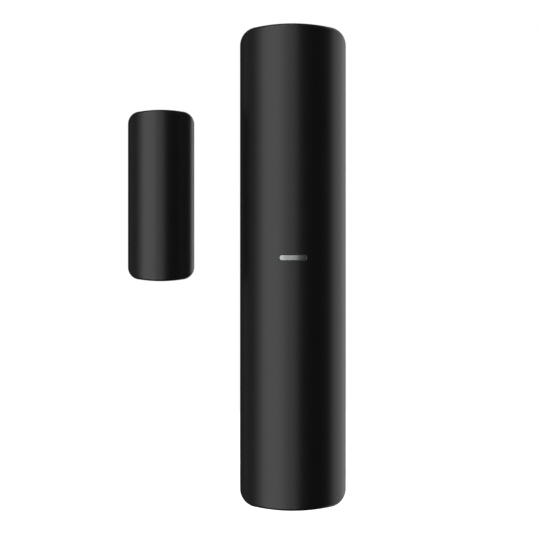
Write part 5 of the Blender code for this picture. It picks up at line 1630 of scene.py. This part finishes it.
def make_reeds(finishes):
    """Both reed switches: sealed glass tubes, flat blades that nearly meet, leads bent to the board."""
    on = Board()
    for name in ("left", "right"):
        low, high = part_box(f"reed_{name}_glass")
        middle, half, r = (low + high) / 2, (high.z - low.z) / 2, (high.x - low.x) / 2
        bore, seal, lead = 0.7 * MM, 0.9 * MM, 0.22 * MM
        outer = [(lead, -half), (0.55 * r, -half), (0.9 * r, 0.35 * MM - half), (r, 0.8 * MM - half)]
        inner = [(lead, seal - half), (0.75 * bore, seal + 0.3 * MM - half)]
        inner.append((bore, seal + 0.8 * MM - half))
        profile = outer + [(x, -z) for x, z in reversed(outer)]
        profile += [(x, -z) for x, z in inner] + inner[::-1]
        tube = turned(f"reed_{name}_tube", profile + [profile[0]], "Z", middle)
        finish_piece(tube, finishes.glass, f"reed_{name}_glass", width=0.01 * MM, angle=60)
        for end, end_name in ((-1, "lower"), (1, "upper")):
            node = f"reed_{name}_{end_name}_lead"
            a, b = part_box(node)
            outer_z = (a.z if end < 0 else b.z) - end * 0.2 * MM
            axis = Vector((middle.x + end * 0.3 * MM, middle.y, 0.0))
            seal_z = middle.z + end * (half - 1.0 * MM)
            points = [(axis.x, on.front - 0.1 * MM, outer_z), (axis.x, axis.y, outer_z)]
            points.append((axis.x, axis.y, seal_z))
            bent = soften([Vector(p) for p in points], 0.5 * MM, 6)
            piece = wire(f"reed_{name}_{end_name}_wire", bent, 0.2 * MM, sides=3)
            tip = middle.z - end * 0.3 * MM
            levels = sorted((tip, seal_z + end * 0.3 * MM))
            thin, flat = 0.07 * MM, 0.38 * MM
            low_corner = (axis.x - thin, axis.y - flat, levels[0])
            high_corner = (axis.x + thin, axis.y + flat, levels[1])
            gather(piece, block("blade", low_corner, high_corner, 0.03 * MM, 1))
            finish_piece(piece, finishes.nickel, node, width=0.01 * MM)


# ---- Terminals and switches ----


def make_terminals(finishes):
    """The terminal block, its two clamps and its two slotted screws."""
    low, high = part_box("terminal_block")
    housing = block("terminal_housing", low, high, 0.25 * MM, 3)
    tools = []
    for node in ("a", "b"):
        screw_low, screw_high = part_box(f"terminal_screw_{node}")
        cage_low, cage_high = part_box(f"terminal_clamp_{node}")
        at = (screw_low + screw_high) / 2
        well = (screw_high.x - screw_low.x) / 2 + sizes().running_gap
        profile = [(well + 1 * MM, low.y - 1 * MM), (well + 0.15 * MM, low.y), (well, low.y + 0.2 * MM)]
        profile.append((well, screw_high.y + sizes().running_gap))
        tools.append(turned("well", profile, "Y", (at.x, 0.0, at.z)))
        gap = sizes().seat_gap
        room = Vector((gap, gap, gap))
        way_out = (cage_high.x + gap, cage_high.y + gap, high.z + 1 * MM)
        tools.append(block("tunnel", cage_low - room, way_out, 0))
        flare, middle = 0.35 * MM, (cage_low + cage_high) / 2
        half = (cage_high - cage_low) / 2 + room
        rings = []
        for z, grow in ((high.z - flare, 0.0), (high.z + flare, flare)):
            a, b = half.x + grow, half.y + grow
            corners = ((-a, -b), (a, -b), (a, b), (-a, b))
            rings.append([(middle.x + x, middle.y + y, z) for x, y in corners])
        tools.append(stack("funnel", rings))
        make_terminal_screw(f"terminal_screw_{node}", finishes)
        cage = block(f"terminal_cage_{node}", cage_low, cage_high, 0.12 * MM)
        half = 0.6 * MM
        x, y = middle.x, middle.y
        cut(cage, block("mouth", (x - half, y - half, -1), (x + half, y + half, 1), 0))
        finish_piece(cage, finishes.nickel, f"terminal_clamp_{node}")
    under, above, groove = low.z - 1 * MM, high.z + 1 * MM, 0.15 * MM
    low_corner = (-groove, low.y - 1 * MM, under)
    tools.append(block("rib_groove", low_corner, (groove, low.y + 0.3 * MM, above), 0))
    for side in (-1, 1):
        near, far = sorted((side * (high.x + 1 * MM), side * (high.x - 0.35 * MM)))
        low_corner = (near, low.y + 2.6 * MM, under)
        tools.append(block("side_key", low_corner, (far, low.y + 3.8 * MM, above), 0))
    cut(housing, *tools)
    finish_piece(housing, finishes.terminal_green, "terminal_block")


def make_terminal_screw(node, finishes):
    """A slotted screw with a plain head and a threaded shank."""
    low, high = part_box(node)
    middle, head = (low + high) / 2, (high.x - low.x) / 2
    shank, rise, corner = 0.8 * MM, 1.1 * MM, 0.15 * MM
    profile = [(0.0, low.y), (head - corner, low.y), (head, low.y + corner), (head, low.y + rise)]
    profile.append((shank * 0.8, low.y + rise))
    y = low.y + rise + 0.1 * MM
    while y < high.y - 0.35 * MM:
        profile += [(shank * 0.75, y), (shank, y + 0.14 * MM), (shank * 0.75, y + 0.28 * MM)]
        y += 0.35 * MM
    profile += [(shank * 0.6, high.y), (0.0, high.y)]
    screw = turned(f"{node}_thread", profile, "Y", (middle.x, 0.0, middle.z))
    half, reach = 0.2 * MM, 2 * head
    slot = block("slot", (-reach, low.y - 1 * MM, -half), (reach, low.y + 0.55 * MM, half), 0)
    slot.location = (middle.x, 0.0, middle.z)
    cut(screw, slot)
    finish_piece(screw, finishes.nickel, node)


def make_switches(finishes):
    """Tamper switch with its plunger and spring, and the power switch with its button."""
    on = Board()
    for node, moving, name in (
        ("tamper_switch_body", "tamper_plunger", "tamper_case"),
        ("power_switch_body", "power_button", "power_case"),
    ):
        low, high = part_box(node)
        middle, size = (low + high) / 2, high - low
        a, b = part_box(moving)
        stem = 1.2 * MM if moving == "tamper_plunger" else 1.3 * MM
        rim = rounded(size.x, size.z, 0.4 * MM, (middle.x, middle.z))
        case = plate(name, rim, high.y, low.y, 0.12 * MM)
        bore = 2 * (stem + sizes().running_gap)
        hole = rounded(bore, bore, at=(middle.x, middle.z), steps=10)
        cut(case, opening("bore", hole, high.y, low.y))
        finish_piece(case, finishes.chip_black, node)
        legs = []
        for sx in (-1, 1):
            for sz in (-1, 1):
                x = sorted((middle.x + sx * size.x / 2, middle.x + sx * (size.x / 2 + 0.5 * MM)))
                z = middle.z + sz * size.z * 0.3
                legs.append(((x[0], on.back, z - 0.3 * MM), (x[1], on.back + 0.35 * MM, z + 0.3 * MM)))
        finish_piece(blocks(f"{name}_legs", legs, 0.08 * MM), finishes.solder, node, stands=False)
        flange = (b.x - a.x) / 2
        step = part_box("battery_holder")[1].y + sizes().seat_gap - sizes().running_gap
        profile = [(0.0, b.y), (stem, b.y), (stem, step), (flange, step)]
        profile += [(flange, step - 0.4 * MM), (stem, step - 0.4 * MM), (stem, a.y), (0.0, a.y)]
        piece = turned(f"{moving}_pin", profile, "Y", (middle.x, 0.0, middle.z), 0.15 * MM)
        finish_piece(piece, finishes.white_plastic, moving)
    low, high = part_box("tamper_spring")
    middle, r = (low + high) / 2, 0.1 * MM
    radius = (high.x - low.x) / 2 - r
    points = coil(radius, radius, high.y - low.y - 2 * r, 2, "Y", 40)
    spring = wire("tamper_coil", points, r, (middle.x, low.y + r, middle.z), 3)
    finish_piece(spring, finishes.nickel, "tamper_spring", width=0.01 * MM)
    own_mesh(spring)


# ---- Magnet piece ----


def make_magnet_base(finishes):
    """The plate on the door, with a spigot ring that the cover snaps over."""
    low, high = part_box("magnet_base")
    back, front, tip = high.y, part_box("magnet_pad")[1].y + sizes().seat_gap, low.y
    at = (MAGNET.at.x, 0.0, MAGNET.at.z)
    base = plate("magnet_plate", MAGNET.shape(0.3 * MM), back, front, 0.15 * MM, at)
    inset = sizes().cover_wall + sizes().running_gap
    ring = plate("spigot", MAGNET.shape(inset), front + 0.5 * MM, tip, 0.2 * MM, at)
    inside = MAGNET.outline(inset + 0.9 * MM)
    bay = stack("bay", [[(x, y, z) for x, z in inside] for y in (front, tip - 1 * MM)], at)
    join(base, ring)
    tools = [bay]
    for side in (-1, 1):
        level = side * 10.2 * MM
        hole, head = 1.4 * MM, 2.5 * MM
        profile = [(hole + 0.1 * MM, back + 1 * MM), (hole + 0.1 * MM, back), (hole, back - 0.1 * MM)]
        profile += [(hole, front + 0.7 * MM), (head, front), (head, front - 1 * MM)]
        tools.append(turned("screw_hole", profile, "Y", (at[0], 0.0, at[2] + level)))
    tools.append(seat("magnet_tape", back, 0.5 * MM))
    cut(base, *tools)
    finish_piece(base, finishes.black_plastic, "magnet_base")
    rim_blockers().objects.link(base)
    soft_pad("foam_pad_magnet", "magnet_tape", finishes.foam_tape)


def make_rod(finishes):
    """The plated magnet rod with chamfered ends, and the foam pad under it."""
    low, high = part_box("bar_magnet")
    middle, r, half = (low + high) / 2, (high.x - low.x) / 2, (high.z - low.z) / 2
    e = 0.3 * MM
    profile = [(0.0, -half), (r - e, -half), (r, e - half), (r, half - e), (r - e, half), (0.0, half)]
    rod = turned("magnet_rod", profile, "Z", middle, 0.1 * MM, 64)
    finish_piece(rod, finishes.magnet_plating, "bar_magnet")
    soft_pad("foam_pad_rod", "magnet_pad", finishes.foam_tape)


# ---- Studio ----


# The camera: film width and lens in millimetres, and its place in metres.
SENSOR_WIDTH, LENS = 36.0, 716.0
CAMERA_PLACE = (-4.337 * MM, -2.0, -0.443 * MM)

# Each soft box: name, azimuth, elevation, distance, width, height, glow.
PANELS = (
    ("left_panel", -45.5, 0.0, 0.7, 0.67, 1.6, 1.95),
    ("left_edge_panel", -80.0, 0.0, 0.7, 0.22, 1.6, 0.6),
    ("front_panel", -5.0, 0.0, 0.7, 0.36, 1.6, 1.0),
    ("side_panel", -118.0, 0.0, 0.7, 0.5, 1.6, 0.1),
    ("rear_right_panel", 127.0, 0.0, 0.8, 1.0, 1.6, 0.92),
    ("top_panel", -60.0, 74.0, 0.9, 0.7, 0.7, 0.8),
)


def direction(azimuth, elevation):
    """A unit vector from the object: azimuth 0 is straight ahead of its front, 90 is to its right."""
    a, e = math.radians(azimuth), math.radians(elevation)
    return Vector((math.sin(a) * math.cos(e), -math.cos(a) * math.cos(e), math.sin(e)))


def panel(name, azimuth, elevation, distance, width, height, glow):
    """A soft box that faces the sensor. glow is how bright its surface looks."""
    light = bpy.data.lights.new(name, "AREA")
    light.shape = "RECTANGLE"
    light.size, light.size_y = width, height
    light.energy = glow * math.pi * width * height
    made = add(name, light)
    aim = Vector((0.0, SENSOR.centre, 0.0))
    away = direction(azimuth, elevation)
    made.location = aim + away * distance
    made.rotation_euler = away.to_track_quat("Z", "Y").to_euler()
    made.visible_camera = False
    return made


def rim_blockers():
    """The pieces that stop the rear panel's light, so the tall sensor doesn't shade the small one."""
    name = "rim_blockers"
    if name not in bpy.data.collections:
        bpy.context.scene.collection.children.link(bpy.data.collections.new(name))
    return bpy.data.collections[name]


def make_floor():
    """A round pale floor under the sensor, with a lamp that lights only the floor."""
    bm = bmesh.new()
    bmesh.ops.create_circle(bm, cap_ends=True, segments=96, radius=2.5)
    floor = body_from(bm, "studio_floor", (0.0, 0.0, -0.06))
    p = Paint("pale_floor")
    cloud = p.noise(0.05, 3.0)
    colour = p.blend(cloud, (0.80, 0.80, 0.79), (0.84, 0.84, 0.83))
    floor.data.materials.append(p.set(base_color=colour, roughness=0.75 + cloud * 0.1))
    floor.visible_glossy = False
    floor.visible_diffuse = False
    floor.visible_transmission = False
    lamp = add("floor_lamp", bpy.data.lights.new("floor_lamp", "SUN"))
    lamp.data.energy, lamp.data.angle = 4.6, math.radians(60)
    lamp.rotation_euler = (0.0, 0.0, 0.0)
    lit = bpy.data.collections.new("floor_only")
    bpy.context.scene.collection.children.link(lit)
    lit.objects.link(floor)
    lamp.light_linking.receiver_collection = lit


def make_world():
    """White to the camera, and a faint grey fill for everything else."""
    world = bpy.data.worlds.new("studio")
    bpy.context.scene.world = world
    world.use_nodes = True
    tree = world.node_tree
    tree.nodes.clear()
    seen = tree.nodes.new("ShaderNodeLightPath").outputs["Is Camera Ray"]
    shades = []
    for level in (0.035, 1.0):
        shade = tree.nodes.new("ShaderNodeBackground")
        shade.inputs["Color"].default_value = (level, level, level, 1.0)
        shades.append(shade.outputs[0])
    mix = tree.nodes.new("ShaderNodeMixShader")
    out = tree.nodes.new("ShaderNodeOutputWorld")
    for source, socket in zip((seen, *shades), mix.inputs):
        tree.links.new(source, socket)
    tree.links.new(mix.outputs[0], out.inputs["Surface"])


def make_stage():
    """Camera, lights and a pale floor."""
    scene = bpy.context.scene
    scene.view_settings.view_transform = "Standard"
    camera = add("camera", bpy.data.cameras.new("camera"))
    camera.data.sensor_width, camera.data.lens = SENSOR_WIDTH, LENS
    camera.data.clip_start, camera.data.clip_end = 0.1, 20.0
    camera.location = CAMERA_PLACE
    camera.rotation_euler = (math.pi / 2, 0.0, 0.0)
    scene.camera = camera
    make_world()
    lights = {name: panel(name, *values) for name, *values in PANELS}
    lights["rear_right_panel"].light_linking.blocker_collection = rim_blockers()
    make_floor()


# ---- Operators ----


class CONTACT_OT_stage(bpy.types.Operator):
    """Make the camera, the lights and the pale floor"""

    bl_idname = "contact.stage"
    bl_label = "Stage"

    def execute(self, context):
        make_stage()
        return {"FINISHED"}


class CONTACT_OT_front_shell(bpy.types.Operator):
    """Make the front shell with its light guide"""

    bl_idname = "contact.front_shell"
    bl_label = "Front shell"

    def execute(self, context):
        make_front_shell(finishes_of(context))
        return {"FINISHED"}


class CONTACT_OT_back_cover(bpy.types.Operator):
    """Make the back cover and its blank label"""

    bl_idname = "contact.back_cover"
    bl_label = "Back cover"

    def execute(self, context):
        make_back_cover(finishes_of(context))
        return {"FINISHED"}


class CONTACT_OT_wall_bracket(bpy.types.Operator):
    """Make the wall bracket and its three foam tapes"""

    bl_idname = "contact.wall_bracket"
    bl_label = "Wall bracket"

    def execute(self, context):
        make_wall_bracket(finishes_of(context))
        return {"FINISHED"}


class CONTACT_OT_cell(bpy.types.Operator):
    """Make the cell, its film, its ring and its top cap"""

    bl_idname = "contact.cell"
    bl_label = "Cell"

    def execute(self, context):
        make_cell(finishes_of(context))
        return {"FINISHED"}


class CONTACT_OT_battery_holder(bpy.types.Operator):
    """Make the battery holder and its contacts"""

    bl_idname = "contact.battery_holder"
    bl_label = "Battery holder"

    def execute(self, context):
        make_holder(finishes_of(context))
        make_contacts(finishes_of(context))
        return {"FINISHED"}


class CONTACT_OT_circuit_board(bpy.types.Operator):
    """Make the board with its runs, solder, print, small parts and screws"""

    bl_idname = "contact.circuit_board"
    bl_label = "Circuit board"

    def execute(self, context):
        make_board(finishes_of(context))
        return {"FINISHED"}


class CONTACT_OT_board_parts(bpy.types.Operator):
    """Make the LED, chip, crystal, radio, capacitor and inductor"""

    bl_idname = "contact.board_parts"
    bl_label = "Board parts"

    def execute(self, context):
        make_components(finishes_of(context))
        return {"FINISHED"}


class CONTACT_OT_antenna(bpy.types.Operator):
    """Make the wire antenna"""

    bl_idname = "contact.antenna"
    bl_label = "Antenna"

    def execute(self, context):
        make_antenna(finishes_of(context))
        return {"FINISHED"}


class CONTACT_OT_reed_switches(bpy.types.Operator):
    """Make both reed switches with their leads"""

    bl_idname = "contact.reed_switches"
    bl_label = "Reed switches"

    def execute(self, context):
        make_reeds(finishes_of(context))
        return {"FINISHED"}


class CONTACT_OT_terminals(bpy.types.Operator):
    """Make the terminal block with its clamps and screws"""

    bl_idname = "contact.terminals"
    bl_label = "Terminals"

    def execute(self, context):
        make_terminals(finishes_of(context))
        return {"FINISHED"}


class CONTACT_OT_switches(bpy.types.Operator):
    """Make the tamper switch and the power switch"""

    bl_idname = "contact.switches"
    bl_label = "Switches"

    def execute(self, context):
        make_switches(finishes_of(context))
        return {"FINISHED"}


class CONTACT_OT_magnet_cover(bpy.types.Operator):
    """Make the housing of the magnet piece"""

    bl_idname = "contact.magnet_cover"
    bl_label = "Magnet cover"

    def execute(self, context):
        make_magnet_housing(finishes_of(context))
        return {"FINISHED"}


class CONTACT_OT_magnet_base(bpy.types.Operator):
    """Make the base of the magnet piece and its foam tape"""

    bl_idname = "contact.magnet_base"
    bl_label = "Magnet base"

    def execute(self, context):
        make_magnet_base(finishes_of(context))
        return {"FINISHED"}


class CONTACT_OT_magnet_rod(bpy.types.Operator):
    """Make the magnet rod and the foam pad under it"""

    bl_idname = "contact.magnet_rod"
    bl_label = "Magnet rod"

    def execute(self, context):
        make_rod(finishes_of(context))
        return {"FINISHED"}


OPERATORS = (
    CONTACT_OT_stage,
    CONTACT_OT_front_shell,
    CONTACT_OT_back_cover,
    CONTACT_OT_wall_bracket,
    CONTACT_OT_cell,
    CONTACT_OT_battery_holder,
    CONTACT_OT_circuit_board,
    CONTACT_OT_board_parts,
    CONTACT_OT_antenna,
    CONTACT_OT_reed_switches,
    CONTACT_OT_terminals,
    CONTACT_OT_switches,
    CONTACT_OT_magnet_cover,
    CONTACT_OT_magnet_base,
    CONTACT_OT_magnet_rod,
)


class CONTACT_PT_sidebar(bpy.types.Panel):
    """Sizes, colours and one button for each piece"""

    bl_idname = "CONTACT_PT_sidebar"
    bl_label = "Door contact"
    bl_space_type = "VIEW_3D"
    bl_region_type = "UI"
    bl_category = "Door contact"

    def draw(self, context):
        layout = self.layout
        groups = (("Sizes", context.scene.contact_sizes), ("Finishes", context.scene.contact_colours))
        for title, group in groups:
            box = layout.box()
            box.label(text=title)
            for key in group.__annotations__:
                box.prop(group, key)
        box = layout.box()
        box.label(text="Pieces")
        for operator in OPERATORS:
            box.operator(operator.bl_idname)


CLASSES = (ContactSizes, ContactColours, *OPERATORS, CONTACT_PT_sidebar)


def register():
    for cls in CLASSES:
        bpy.utils.register_class(cls)
    bpy.types.Scene.contact_sizes = PointerProperty(type=ContactSizes)
    bpy.types.Scene.contact_colours = PointerProperty(type=ContactColours)


def unregister():
    del bpy.types.Scene.contact_colours
    del bpy.types.Scene.contact_sizes
    for cls in reversed(CLASSES):
        bpy.utils.unregister_class(cls)


def main():
    """Builds every piece in order."""
    register()
    bpy.ops.contact.stage()
    bpy.ops.contact.front_shell()
    bpy.ops.contact.back_cover()
    bpy.ops.contact.wall_bracket()
    bpy.ops.contact.cell()
    bpy.ops.contact.battery_holder()
    bpy.ops.contact.circuit_board()
    bpy.ops.contact.board_parts()
    bpy.ops.contact.antenna()
    bpy.ops.contact.reed_switches()
    bpy.ops.contact.terminals()
    bpy.ops.contact.switches()
    bpy.ops.contact.magnet_cover()
    bpy.ops.contact.magnet_base()
    bpy.ops.contact.magnet_rod()


if __name__ == "__main__":
    main()
